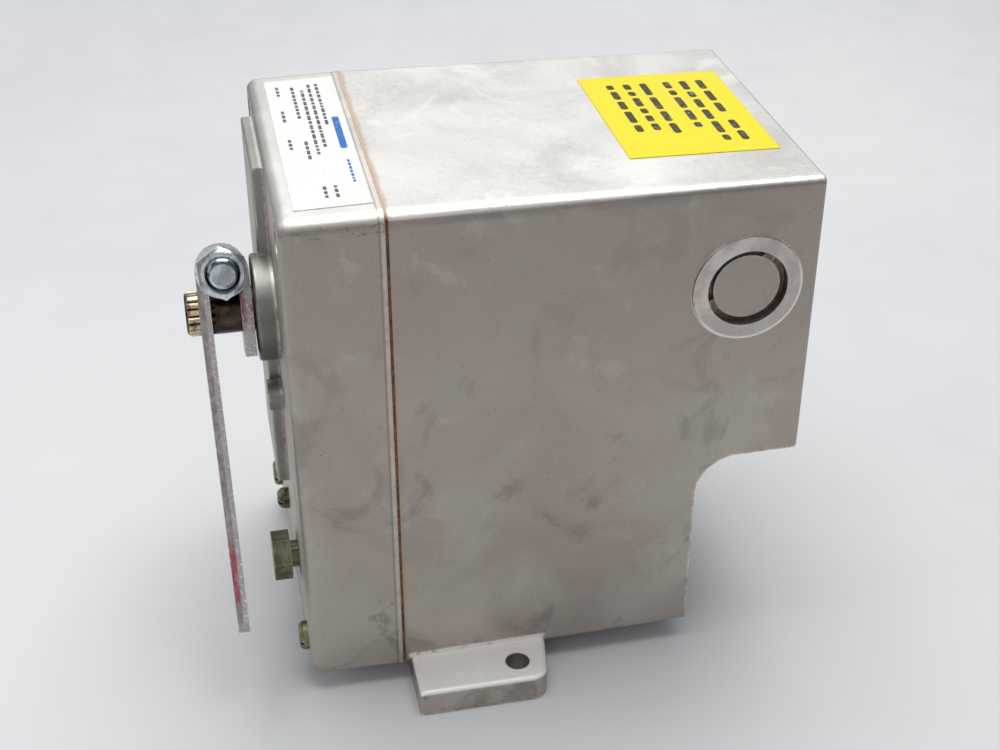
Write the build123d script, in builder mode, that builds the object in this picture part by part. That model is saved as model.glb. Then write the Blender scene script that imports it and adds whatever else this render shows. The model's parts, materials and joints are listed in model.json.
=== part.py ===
from build123d import *
import os
from math import acos, cos, pi, radians, sin, sqrt, tan

os.makedirs("parts", exist_ok=True)

# Foot-mounted motorized valve actuator, millimetres.
# +Z is up and the output shaft points to -Y. The origin is the middle of the two foot holes,
# on the plane that the feet stand on.

# ---------------------------------------------------------------- driving dimensions
# case
case_width = 100.5  # at the seam, where the drafted castings are widest
case_top = 151.8  # height of the top at the seam
case_bottom = 5.7  # height of the underside at the seam
draft = 1.0  # degrees, each wall
seam_y = -32.0  # middle of the gasket
gasket_thickness = 0.8
gasket_proud = 0.15
front_depth = 26.5
rear_depth = 115.6
lower_rear_depth = 85.5  # the lower part is shorter than the overhang above it
overhang_depth = 86.6  # the overhang's underside, below the top
step_radius = 12.0
wall = 3.0
front_wall = 3.5
edge_radius = 4.0
front_edge_radius = 3.0
rear_edge_radius = 1.0
bottom_edge_radius = 1.5

# feet
foot_thickness = 8.0
foot_reach = 16.0  # beyond the case at the seam
foot_front = 30.0  # ahead of the hole
foot_rear = 10.0  # behind the hole, at the case
foot_rear_taper = 2.7  # how much less it is at the outer end
foot_corner_radius = 5.0
foot_hole = 7.1
foot_hole_offset = 8.0  # from the case at the seam
foot_front_radius = 0.8
foot_edge_radius = 1.5
rest_pad_width = 14.0
rest_pad_length = 10.0

# conduit knockouts
knockout_hole = 22.2
knockout_disc = 18.6
knockout_ring = 30.5
knockout_ring_height = 0.8
knockout_web = 0.8
knockout_recess = 0.5
knockout_tab = 3.4
knockout_tab_angles = (56.0, 208.0)  # degrees in the view from +X
knockout_from_rear = 19.8
knockout_from_top = 32.0

# labels
label_thickness = 0.25
name_label_length = 86.0
name_label_width = 20.0
caution_label_length = 57.0
caution_label_width = 42.0
caution_label_from_rear = 26.9

# output shaft and its bearings
shaft_x = 9.5
shaft_from_top = 44.8
shaft_diameter = 12.7
shaft_tail_diameter = 10.0
shaft_end = 3.7  # beyond the crank arm
shaft_rear_end = 2.5  # behind the last cam
spline_length = 8.0
spline_count = 18
spline_groove = 1.3
shaft_chamfer = 1.0
running_clearance = 0.03
ring_plate_gap = 0.8  # retaining ring behind the gear plate
ring_thickness = 1.0
ring_depth = 0.6  # of its groove
ring_width = 3.0
ring_opening = 6.0
flange_thickness = 1.2  # rear bushing
flange_width = 1.5
rear_bushing_proud = 0.4
boss_diameter = 30.0
boss_height = 5.6
bushing_wall = 2.8
bushing_length = 7.0
seal_length = 3.0
seal_wall = 4.0

# raised pad and small bosses on the front
pad_from_left = 22.25  # from the case's left side
pad_right = 7.5
pad_height_below = 61.0  # below the shaft
pad_height = 3.3
plug_boss_diameter = 9.0
plug_boss_height = 4.1

# crank arm
arm_width = 19.0
arm_thickness = 3.15
arm_gap = 8.1  # between the legs, and the bend's inner diameter
arm_reach = 81.5  # shaft to the centre of the round tip
arm_short_leg = 12.5  # below the shaft
arm_boss_gap = 0.7
arm_lean = 1.1  # of the tip, towards the case
arm_tilt = 25.0  # degrees from straight down, at rest
arm_slit = 2.4
arm_bore_clearance = 0.05
clamp_gap = 0.78  # between the shaft and the clamp bolt
linkage_hole = 6.4
linkage_pitch = 22.0  # between holes; the first is at the centre of the round tip
linkage_count = 3

# 5/16 in hardware
bolt_diameter = 7.94
hex_across_flats = 12.7
bolt_head_height = 5.3
nut_height = 6.75
lock_washer_diameter = 14.2
lock_washer_thickness = 1.9
lock_washer_clearance = 0.1
lock_washer_split = 0.9
lock_washer_angle = 20.0  # of the split across the ring
bolt_end = 2.2
bolt_chamfer = 0.7
nut_turn = 3.0  # degrees that a corner stands from straight down
nut_face_ring = 11.4  # diameter of the flat ring that the corner chamfer leaves
nut_chamfer = 0.8
nut_countersink = 0.8

# front bolt
front_bolt_x = 22.5
front_bolt_height = 24.3  # above the case's underside
front_bolt_gap = 2.1  # head off the wall
front_bolt_length = 14.0
front_bolt_turn = 12.0
thread_boss_wall = 3.0

# gear train: module and teeth of each pair
output_module = 1.0
output_teeth = 44
third_pinion_teeth = 14
third_module = 0.7
second_module = 0.6
first_module = 0.6
wheel_teeth = 60
pinion_teeth = 12
backlash = 0.14
pressure_angle = 20.0
output_face = 5.5
third_face = 3.0
second_face = 2.6
first_face = 2.6
face_gap = 0.9  # between neighbouring wheels
third_arbor = 5.0
second_arbor = 4.0
first_arbor = 4.0
arbor_seat = 2.0  # depth pressed into the front wall
third_direction = -90.0  # from the output shaft, degrees in the front view
second_direction = 200.0
first_direction = -110.0
motor_direction = -10.0
gear_start = 1.3  # first wheel behind the front wall
gear_key_size = 3.0

# gear plate
plate_side_gap = 6.25  # to the case at the seam
plate_bottom_gap = 15.0
plate_top_gap = 16.0
plate_thickness = 2.0
plate_inset = 2.1  # rear face ahead of the seam face
post_diameter = 8.0
plate_post_inset = 6.0
plate_post_drop = 10.0
low_post_drop = 45.0  # the right-hand low post, below the shaft
left_post_drop = 23.0  # the left-hand low post, below the shaft
left_post_inset = 4.0
front_post_x = -3.0
front_post_height = 26.3  # above the case's underside

# screws
cover_screw_diameter = 4.8
cover_screw_head = 8.4
cover_screw_head_height = 2.6
counterbore_depth = 2.8
counterbore_clearance = 0.3
cover_post_diameter = 11.0
cover_post_inset = 8.65
cover_post_rise = 8.9
cover_post_drop = 8.2
cover_post_depth = 20.0
small_screw = 3.5
small_screw_head = 6.6
small_screw_head_height = 2.4
plate_screw_reach = 8.0  # into the post
post_screw_head_height = 3.6
drive_slot = 0.9

# motor
stack_gap = 14.5  # behind the gear plate
stack_length = 22.0
stack_width = 60.0
stack_below = 22.0  # below the rotor's axis
stack_above = 36.0
stack_bar = 11.0  # the leg that carries the coil
rotor_diameter = 26.0
air_gap = 0.35
pole_gap = 3.0
bobbin_clearance = 0.3
bobbin_lip = 0.5  # flange beyond the winding
cage_inset = 1.0  # end rings below the rotor
hole_clearance = 0.1  # round the small screws
motor_shaft = 4.0
motor_shaft_nose = 3.0
motor_shaft_rear = 13.0
window_width = 34.0
window_height = 11.0
bobbin_wall = 1.0
bobbin_flange = 1.2
coil_depth = 6.0
bracket_thickness = 3.5
bracket_bar_height = 14.0
bracket_leg = 5.0
bracket_screw_x = 24.0
motor_screw = 4.0
motor_bushing_wall = 2.0

# limit cams and switches
cam_diameter = 22.0
cam_lobe = 3.2
cam_width = 5.0
cam_gap = 3.0
cam_plate_gap = 6.0  # behind the gear plate
cam_set_screw = 3.0
lobe_stop = 13.0  # degrees that a lobe stays short of its lever
lobe_span = 60.0
lever_nose = 4.8  # diameter of the round tip that meets the lobe
lever_clearance = 0.4
lever_length = 15.0
cheek_gap = 0.25  # lever to each cheek
eye_gap = 0.3
plunger_diameter = 1.6
plunger_from_pivot = 9
switch_screw_head_height = 1.6
lever_thickness = 0.6
lever_width = 4.0
lever_eye = 2.8
lever_pin = 1.2
lever_gap = 1.3  # to the switch body
switch_width = 6.4
switch_length = 20.0
switch_height = 10.2
switch_screw = 2.3
switch_screw_spacing = 9.5
spacer_wall = 1.2

# shelf, terminals and capacitor
shelf_thickness = 1.5
shelf_width = 68.0
shelf_rear_gap = 18.9  # to the rear housing's inside, over its draft
shelf_from_top = 25.0
shelf_flange = 8.0
terminal_length = 52.0
terminal_depth = 15.0
terminal_height = 10.0
terminal_count = 5
terminal_hole_inset = 5.0
barrier_thickness = 1.2
barrier_height = 4.0
terminal_head_height = 2.0
terminal_slot_depth = 1.0
terminal_from_rear = 23.5  # the block's middle, ahead of the shelf's rear edge
capacitor_diameter = 27.0
capacitor_length = 48.0
capacitor_from_rear = 23.5
clip_thickness = 1.0
clip_width = 12.0
clip_screw_from_rear = 6.0
clip_screw_proud = 2.0  # below the clip
capacitor_rim_radius = 1.5
capacitor_tab_spacing = 10.0
capacitor_tab_width = 6.0
capacitor_tab_thickness = 0.8
capacitor_tab_length = 8.0
capacitor_tab_root = 0.5  # inside the end of the can

# ---------------------------------------------------------------- derived places
rear_face = seam_y + gasket_thickness / 2  # where the rear housing starts
front_face = seam_y - gasket_thickness / 2  # where the front housing starts
front_wall_outer = front_face - front_depth
front_wall_inner = front_wall_outer + front_wall
case_height = case_top - case_bottom
case_middle_z = (case_top + case_bottom) / 2
half_width = case_width / 2
foot_hole_x = half_width + foot_hole_offset
foot_end = half_width + foot_reach
overhang_height = case_top - overhang_depth
knockout_y = rear_face + rear_depth - knockout_from_rear
knockout_z = case_top - knockout_from_top
shaft_z = case_top - shaft_from_top
pad_left = pad_from_left - half_width
pad_bottom = shaft_z - pad_height_below
front_bolt_z = case_bottom + front_bolt_height
plate_rear = front_face - plate_inset
plate_front = plate_rear - plate_thickness
boss_face = front_wall_outer - boss_height
arm_depth = arm_gap + 2 * arm_thickness
arm_outer_face = boss_face - arm_boss_gap - arm_depth
shaft_front = arm_outer_face - shaft_end
clamp_height = (shaft_diameter + bolt_diameter) / 2 + clamp_gap  # above the shaft, along the arm
plate_half_width = half_width - plate_side_gap
plate_bottom = case_bottom + plate_bottom_gap
plate_top = case_top - plate_top_gap
plate_posts = [
    (plate_half_width - plate_post_inset, plate_top - plate_post_drop),
    (plate_post_inset - plate_half_width, plate_top - plate_post_drop),
    (plate_half_width - plate_post_inset, shaft_z - low_post_drop),
    (left_post_inset - plate_half_width, shaft_z - left_post_drop),
]
front_post = (front_post_x, case_bottom + front_post_height)
cover_post_x = half_width - cover_post_inset
cover_post_low = case_bottom + cover_post_rise
cover_post_high = case_top - cover_post_drop
cover_posts = [
    (side * cover_post_x, height) for side in (-1, 1) for height in (cover_post_low, cover_post_high)
]
shelf_z = case_top - shelf_from_top
shelf_rear = rear_face + rear_depth - shelf_rear_gap
terminal_y = shelf_rear - terminal_from_rear
capacitor_y = shelf_rear - capacitor_from_rear


def polar(start, distance, angle):
    """The point at a distance and angle from a start point, in the front view."""
    return (start[0] + distance * cos(radians(angle)), start[1] + distance * sin(radians(angle)))


output_axis = (shaft_x, shaft_z)
third_axis = polar(output_axis, output_module * (output_teeth + third_pinion_teeth) / 2, third_direction)
second_axis = polar(third_axis, third_module * (wheel_teeth + pinion_teeth) / 2, second_direction)
first_axis = polar(second_axis, second_module * (wheel_teeth + pinion_teeth) / 2, first_direction)
motor_axis = polar(first_axis, first_module * (wheel_teeth + pinion_teeth) / 2, motor_direction)

output_gear_front = front_wall_inner + gear_start
third_wheel_front = output_gear_front + output_face + face_gap
second_wheel_front = third_wheel_front + third_face + face_gap
first_wheel_front = second_wheel_front + second_face + face_gap
shaft_step = output_gear_front + output_face + face_gap / 2
cam_front = plate_rear + cam_plate_gap
closing_cam_front = cam_front + cam_width + cam_gap
shaft_rear = closing_cam_front + cam_width + shaft_rear_end
stack_front = plate_rear + stack_gap


def facing_front(y):
    """A sketch plane at y that looks to -Y: sketch x is X and sketch y is Z."""
    return Plane(origin=(0, y, 0), x_dir=(1, 0, 0), z_dir=(0, -1, 0))


def facing_rear(y):
    """A sketch plane at y that looks to +Y: sketch x is -X and sketch y is Z."""
    return Plane(origin=(0, y, 0), x_dir=(-1, 0, 0), z_dir=(0, 1, 0))


def finish(builder, name):
    """Label a finished piece and write it."""
    builder.part.label = name
    export_step(builder.part, f"parts/{name}.step")


def disc(x, z, front, length, diameter, mode=Mode.ADD):
    """Extrude a round disc backwards from its front face, in the active part."""
    with BuildSketch(facing_front(front)) as outline:
        with Locations((x, z)):
            Circle(diameter / 2)
    extrude(outline.sketch, amount=-length, mode=mode)


def drill(x, z, front, length, diameter):
    """Cut a round hole backwards from its front face, in the active part."""
    disc(x, z, front, length, diameter, mode=Mode.SUBTRACT)


def ring(x, z, front, length, outer, inner):
    """Extrude a plain bush or washer backwards from its front face, in the active part."""
    with BuildSketch(facing_front(front)) as outline:
        with Locations((x, z)):
            Circle(outer / 2)
            Circle(inner / 2, mode=Mode.SUBTRACT)
    extrude(outline.sketch, amount=-length)


def box(x_range, y_range, z_range, mode=Mode.ADD):
    """Extrude a block between two values on each axis, in the active part."""
    with BuildSketch(Plane.XY.offset(z_range[0])) as outline:
        with Locations(((x_range[0] + x_range[1]) / 2, (y_range[0] + y_range[1]) / 2)):
            Rectangle(x_range[1] - x_range[0], y_range[1] - y_range[0])
    extrude(outline.sketch, amount=z_range[1] - z_range[0], mode=mode)


def pan_screw(x, z, under_head, length, diameter, head, head_height, way):
    """A slotted pan-head screw along Y; way is 1 when it is driven backwards, -1 forwards."""
    with BuildSketch(Plane.XY.offset(z)) as profile:
        with Locations((x + head / 4, under_head - way * head_height / 2)):
            Rectangle(head / 2, head_height)
        rim = vertices().group_by(Axis.X)[-1].sort_by(Axis.Y)
        fillet(rim[0 if way > 0 else -1], 0.6 * head_height)
        with Locations((x + diameter / 4, under_head + way * length / 2)):
            Rectangle(diameter / 2, length)
    revolve(profile.sketch, axis=Axis((x, 0, z), (0, 1, 0)))
    top = under_head - way * head_height
    box(
        (x - head, x + head),
        sorted((top, top + way * 0.45 * head_height)),
        (z - drive_slot / 2, z + drive_slot / 2),
        mode=Mode.SUBTRACT,
    )


def involute(angle):
    """The involute function of an angle in radians."""
    return tan(angle) - angle


def gear_outline(centre, teeth, module, tooth_angle, addendum, dedendum):
    """A closed gear outline with one tooth centred on tooth_angle, degrees in the front view."""
    pitch_radius = module * teeth / 2
    base_radius = pitch_radius * cos(radians(pressure_angle))
    root = pitch_radius - dedendum * module
    tip = pitch_radius + addendum * module
    start = max(base_radius, root + 0.01)
    flank = [start + (tip - start) * step / 3 for step in range(4)]
    pitch_half = pi / (2 * teeth) - backlash / (2 * pitch_radius)
    base_half = pitch_half + involute(radians(pressure_angle))
    halves = [base_half - involute(acos(min(1.0, base_radius / r))) for r in flank]
    radii = [root] + flank
    halves = [halves[0]] + halves
    points = []
    for tooth in range(teeth):
        middle = radians(tooth_angle) + 2 * pi * tooth / teeth
        for r, half in zip(radii, halves):
            points.append((centre[0] + r * cos(middle - half), centre[1] + r * sin(middle - half)))
        for r, half in zip(reversed(radii), reversed(halves)):
            points.append((centre[0] + r * cos(middle + half), centre[1] + r * sin(middle + half)))
    return points


def gear(centre, front, face, teeth, module, tooth_angle, wheel):
    """Extrude a spur gear backwards from its front face, in the active part.

    Wheels have short teeth, so that they clear the roots of pinions with few teeth.
    """
    addendum, dedendum = (0.75, 1.2) if wheel else (1.0, 1.0)
    with BuildSketch(facing_front(front)) as outline:
        with BuildLine():
            Polyline(*gear_outline(centre, teeth, module, tooth_angle, addendum, dedendum), close=True)
        make_face()
    extrude(outline.sketch, amount=-face)


# ---------------------------------------------------------------- case shells
with BuildPart() as rear_step:
    # the space under the overhang
    with BuildSketch(Plane.YZ):
        with BuildLine():
            Polyline(
                (rear_face + lower_rear_depth, -case_height),
                (rear_face + lower_rear_depth, overhang_height),
                (rear_face + 2 * rear_depth, overhang_height),
                (rear_face + 2 * rear_depth, -case_height),
                close=True,
            )
        make_face()
        fillet(vertices().group_by(Axis.Y)[-1].sort_by(Axis.X)[0], step_radius)
    extrude(amount=case_width, both=True)

with BuildPart() as rear_step_inside:
    # the same space, grown by the wall, which the hollow stops at
    with BuildSketch(Plane.YZ):
        with BuildLine():
            Polyline(
                (rear_face + lower_rear_depth - wall, -case_height),
                (rear_face + lower_rear_depth - wall, overhang_height + wall),
                (rear_face + 2 * rear_depth, overhang_height + wall),
                (rear_face + 2 * rear_depth, -case_height),
                close=True,
            )
        make_face()
        fillet(vertices().group_by(Axis.Y)[-1].sort_by(Axis.X)[0], step_radius + wall)
    extrude(amount=case_width, both=True)

with BuildPart() as rear_hollow:
    with BuildSketch(facing_rear(rear_face)):
        with Locations((0, case_middle_z)):
            RectangleRounded(case_width - 2 * wall, case_height - 2 * wall, edge_radius / 2)
    extrude(amount=rear_depth - wall, taper=draft)
    add(rear_step_inside.part, mode=Mode.SUBTRACT)


def knockout_face_x(y):
    """How far the drafted side wall stands from the middle plane at y."""
    return half_width - (y - rear_face) * tan(radians(draft))


with BuildPart() as knockout_rings:
    with BuildSketch(Plane.YZ.offset(knockout_face_x(knockout_y) + knockout_ring_height)):
        with Locations((knockout_y, knockout_z)):
            Circle(knockout_ring / 2)
    extrude(amount=-wall)
    mirror(about=Plane.YZ)

with BuildPart() as knockout_groove:
    # the groove round the disc, crossed by two tabs
    with BuildSketch(Plane.YZ.offset(knockout_face_x(knockout_y) - wall + knockout_web)):
        with Locations((knockout_y, knockout_z)):
            Circle(knockout_hole / 2)
            Circle(knockout_disc / 2, mode=Mode.SUBTRACT)
            for angle in knockout_tab_angles:
                with Locations(Location((0, 0), angle)):
                    with Locations((knockout_hole / 2, 0)):
                        Rectangle(knockout_hole, knockout_tab, mode=Mode.SUBTRACT)
    extrude(amount=2 * wall)
    with BuildSketch(Plane.YZ.offset(knockout_face_x(knockout_y) - knockout_recess)):
        with Locations((knockout_y, knockout_z)):
            Circle(knockout_hole / 2)
    extrude(amount=2 * wall)
    mirror(about=Plane.YZ)

with BuildPart() as foot_bar:
    # one bar under the case that reaches out on both sides as the feet
    with BuildSketch(Plane.XY):
        with BuildLine():
            Polyline(
                (-foot_end, -foot_front),
                (foot_end, -foot_front),
                (foot_end, foot_rear - foot_rear_taper),
                (half_width, foot_rear),
                (-half_width, foot_rear),
                (-foot_end, foot_rear - foot_rear_taper),
                close=True,
            )
        make_face()
        fillet(vertices().group_by(Axis.Y)[1], foot_corner_radius)
        fillet(vertices().group_by(Axis.Y)[0], foot_front_radius)
    extrude(amount=foot_thickness)
    fillet(faces().sort_by(Axis.Z)[-1].edges(), foot_edge_radius)

with BuildPart() as rear_housing:
    with BuildSketch(facing_rear(rear_face)):
        with Locations((0, case_middle_z)):
            Rectangle(case_width, case_height)
        fillet(vertices().group_by(Axis.Y)[-1], edge_radius)
        fillet(vertices().group_by(Axis.Y)[0], bottom_edge_radius)
    extrude(amount=rear_depth, taper=draft)
    add(rear_step.part, mode=Mode.SUBTRACT)
    fillet(faces().sort_by(Axis.Y)[-1].edges(), rear_edge_radius)
    add(foot_bar.part)
    # rest pads that keep the case level behind the feet
    with BuildSketch(Plane.XY):
        rest_pad_y = rear_face + lower_rear_depth - 1.5 * rest_pad_length
        with Locations((-case_width / 4, rest_pad_y), (case_width / 4, rest_pad_y)):
            Rectangle(rest_pad_width, rest_pad_length)
    extrude(amount=case_bottom + wall)
    add(knockout_rings.part)
    add(rear_hollow.part, mode=Mode.SUBTRACT)
    add(knockout_groove.part, mode=Mode.SUBTRACT)
    # posts for the cover screws
    with BuildSketch(facing_rear(rear_face)):
        with Locations(cover_posts):
            Circle(cover_post_diameter / 2)
    extrude(amount=cover_post_depth)
    with BuildSketch(facing_rear(rear_face)):
        with Locations(cover_posts):
            Circle(cover_screw_diameter / 2)
    extrude(amount=cover_post_depth - wall, mode=Mode.SUBTRACT)
    with BuildSketch(Plane.XY):
        with Locations((foot_hole_x, 0), (-foot_hole_x, 0)):
            Circle(foot_hole / 2)
    extrude(amount=foot_thickness, mode=Mode.SUBTRACT)
finish(rear_housing, "rear_housing")

third_arbor_end = front_wall_outer - plug_boss_height / 2
small_arbor_end = front_wall_inner - arbor_seat
arbors = [
    (third_axis, third_arbor, third_arbor_end),
    (second_axis, second_arbor, small_arbor_end),
    (first_axis, first_arbor, small_arbor_end),
]
bushing_front = boss_face + seal_length
bushing_diameter = shaft_diameter + 2 * bushing_wall
seal_diameter = shaft_diameter + 2 * seal_wall
front_bolt_head = front_wall_outer - front_bolt_gap
front_bolt_end = front_bolt_head + front_bolt_length

with BuildPart() as front_hollow:
    with BuildSketch(facing_front(front_face)):
        with Locations((0, case_middle_z)):
            RectangleRounded(case_width - 2 * wall, case_height - 2 * wall, edge_radius / 2)
    extrude(amount=front_depth - front_wall, taper=draft)

with BuildPart() as front_housing:
    with BuildSketch(facing_front(front_face)):
        with Locations((0, case_middle_z)):
            Rectangle(case_width, case_height)
        fillet(vertices().group_by(Axis.Y)[-1], edge_radius)
        fillet(vertices().group_by(Axis.Y)[0], bottom_edge_radius)
    extrude(amount=front_depth, taper=draft)
    fillet(faces().sort_by(Axis.Y)[0].edges(), front_edge_radius)
    # raised pad, shaft boss and arbor boss
    with BuildSketch(facing_front(front_wall_outer)):
        with Locations(((pad_left + pad_right) / 2, (pad_bottom + case_top - edge_radius) / 2)):
            Rectangle(pad_right - pad_left, case_top - edge_radius - pad_bottom)
    extrude(amount=pad_height)
    fillet(faces().sort_by(Axis.Y)[0].edges(), front_edge_radius / 4)
    disc(shaft_x, shaft_z, boss_face, boss_height, boss_diameter)
    fillet(faces().sort_by(Axis.Y)[0].edges(), front_edge_radius / 4)
    disc(*third_axis, front_wall_outer - plug_boss_height, plug_boss_height, plug_boss_diameter)
    add(front_hollow.part, mode=Mode.SUBTRACT)
    # posts inside: cover screws, gear plate, front screw and front bolt
    for x, z in cover_posts:
        disc(x, z, front_wall_inner, front_face - front_wall_inner, cover_post_diameter)
    for x, z in plate_posts + [front_post]:
        disc(x, z, front_wall_inner, plate_front - front_wall_inner, post_diameter)
    disc(
        front_bolt_x,
        front_bolt_z,
        front_wall_inner,
        front_bolt_end - front_wall_inner,
        bolt_diameter + 2 * thread_boss_wall,
    )
    for x, z in cover_posts:
        drill(x, z, front_wall_outer, front_depth, cover_screw_diameter)
    # the upper pair of cover screws sits in counterbores
    for side in (-1, 1):
        drill(
            side * cover_post_x,
            cover_post_high,
            front_wall_outer,
            counterbore_depth,
            cover_screw_head + 2 * counterbore_clearance,
        )
    for x, z in plate_posts:
        drill(x, z, front_wall_inner, plate_front - front_wall_inner, small_screw)
    drill(*front_post, front_wall_outer, plate_front - front_wall_outer, small_screw)
    drill(front_bolt_x, front_bolt_z, front_wall_outer, front_bolt_end - front_wall_outer, bolt_diameter)
    # seal recess, bushing bore and arbor seats
    drill(shaft_x, shaft_z, boss_face, seal_length, seal_diameter)
    drill(shaft_x, shaft_z, bushing_front, front_wall_inner - bushing_front, bushing_diameter)
    for axis, diameter, front in arbors:
        drill(*axis, front, front_wall_inner - front, diameter)
finish(front_housing, "front_housing")

with BuildPart() as housing_gasket:
    with BuildSketch(facing_front(rear_face)):
        with Locations((0, case_middle_z)):
            RectangleRounded(case_width + 2 * gasket_proud, case_height + 2 * gasket_proud, edge_radius)
            RectangleRounded(
                case_width - 2 * wall, case_height - 2 * wall, edge_radius / 2, mode=Mode.SUBTRACT
            )
        with Locations(cover_posts):
            Circle(cover_post_diameter / 2)
        with Locations(cover_posts):
            Circle(cover_screw_diameter / 2, mode=Mode.SUBTRACT)
    extrude(amount=gasket_thickness)
finish(housing_gasket, "housing_gasket")


def top_plane(y_away, away):
    """A plane on the drafted top at a distance from the seam; away is -1 forward, 1 backward."""
    z = case_top - y_away * tan(radians(draft))
    y = (rear_face if away > 0 else front_face) + away * y_away
    up = (0, away * sin(radians(draft)), cos(radians(draft)))
    return Plane(origin=(0, y, z), x_dir=(1, 0, 0), z_dir=up)


with BuildPart() as name_label:
    with BuildSketch(top_plane((front_depth - front_edge_radius) / 2, -1)):
        Rectangle(name_label_length, name_label_width)
    extrude(amount=label_thickness)
finish(name_label, "name_label")

with BuildPart() as caution_label:
    with BuildSketch(top_plane(rear_depth - caution_label_from_rear, 1)):
        Rectangle(caution_label_length, caution_label_width)
    extrude(amount=label_thickness)
finish(caution_label, "caution_label")


# ---------------------------------------------------------------- output shaft group
key_radius = shaft_diameter / 2
key_floor = key_radius - gear_key_size / 2
ring_front = plate_rear + ring_plate_gap

with BuildPart() as output_shaft:
    disc(shaft_x, shaft_z, shaft_front, shaft_step - shaft_front, shaft_diameter)
    chamfer(faces().sort_by(Axis.Y)[0].edges(), shaft_chamfer)
    disc(shaft_x, shaft_z, shaft_step, shaft_rear - shaft_step, shaft_tail_diameter)
    # serrations at the front end
    with BuildSketch(facing_front(shaft_front)):
        with Locations((shaft_x, shaft_z)):
            with PolarLocations(shaft_diameter / 2 + spline_groove / 4, spline_count):
                Rectangle(spline_groove, spline_groove, rotation=45)
    extrude(amount=-spline_length, mode=Mode.SUBTRACT)
    # keyway and groove of the retaining ring
    with BuildSketch(facing_front(output_gear_front)):
        with Locations((shaft_x, shaft_z + key_radius)):
            Rectangle(gear_key_size, gear_key_size)
    extrude(amount=-output_face, mode=Mode.SUBTRACT)
    with BuildSketch(facing_front(ring_front)):
        with Locations((shaft_x, shaft_z)):
            Circle(shaft_tail_diameter / 2)
            Circle(shaft_tail_diameter / 2 - ring_depth, mode=Mode.SUBTRACT)
    extrude(amount=-ring_thickness, mode=Mode.SUBTRACT)
finish(output_shaft, "output_shaft")

with BuildPart() as gear_key:
    box(
        (shaft_x - gear_key_size / 2, shaft_x + gear_key_size / 2),
        (output_gear_front, output_gear_front + output_face),
        (shaft_z + key_floor, shaft_z + key_floor + gear_key_size),
    )
finish(gear_key, "gear_key")

with BuildPart() as output_gear:
    # a tooth points down at the third arbor's pinion
    gear(output_axis, output_gear_front, output_face, output_teeth, output_module, third_direction, True)
    drill(*output_axis, output_gear_front, output_face, shaft_diameter)
    box(
        (shaft_x - gear_key_size / 2, shaft_x + gear_key_size / 2),
        (output_gear_front, output_gear_front + output_face),
        (shaft_z, shaft_z + key_floor + gear_key_size),
        mode=Mode.SUBTRACT,
    )
finish(output_gear, "output_gear")

with BuildPart() as front_bushing:
    ring(
        shaft_x,
        shaft_z,
        bushing_front,
        bushing_length,
        bushing_diameter,
        shaft_diameter + 2 * running_clearance,
    )
finish(front_bushing, "front_bushing")

with BuildPart() as shaft_seal:
    ring(shaft_x, shaft_z, boss_face, seal_length, seal_diameter, shaft_diameter + running_clearance)
finish(shaft_seal, "shaft_seal")

rear_bushing_diameter = shaft_tail_diameter + 2 * bushing_wall
with BuildPart() as rear_bushing:
    ring(
        shaft_x,
        shaft_z,
        plate_front - flange_thickness,
        flange_thickness + plate_thickness + rear_bushing_proud,
        rear_bushing_diameter,
        shaft_tail_diameter + 2 * running_clearance,
    )
    ring(
        shaft_x,
        shaft_z,
        plate_front - flange_thickness,
        flange_thickness,
        rear_bushing_diameter + 2 * flange_width,
        shaft_tail_diameter + 2 * running_clearance,
    )
finish(rear_bushing, "rear_bushing")

with BuildPart() as retaining_ring:
    ring(
        shaft_x,
        shaft_z,
        ring_front,
        ring_thickness,
        shaft_tail_diameter + 2 * ring_width,
        shaft_tail_diameter - 2 * ring_depth,
    )
    # open on one side, as an E-clip is
    box(
        (shaft_x - ring_opening / 2, shaft_x + ring_opening / 2),
        (ring_front, ring_front + ring_thickness),
        (shaft_z - shaft_tail_diameter, shaft_z),
        mode=Mode.SUBTRACT,
    )
finish(retaining_ring, "retaining_ring")


# ---------------------------------------------------------------- crank arm and its clamp
tilt = radians(arm_tilt)
arm_right = Vector(cos(tilt), 0, sin(tilt))  # across the strap
arm_up = Vector(-sin(tilt), 0, cos(tilt))  # along the strap
shaft_centre = Vector(shaft_x, 0, shaft_z)
loop_y = arm_outer_face + arm_depth / 2
arm_side = Plane(origin=shaft_centre, x_dir=(0, 1, 0), z_dir=arm_right)
arm_face = Plane(origin=shaft_centre, x_dir=arm_right, z_dir=(0, -1, 0))

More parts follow.
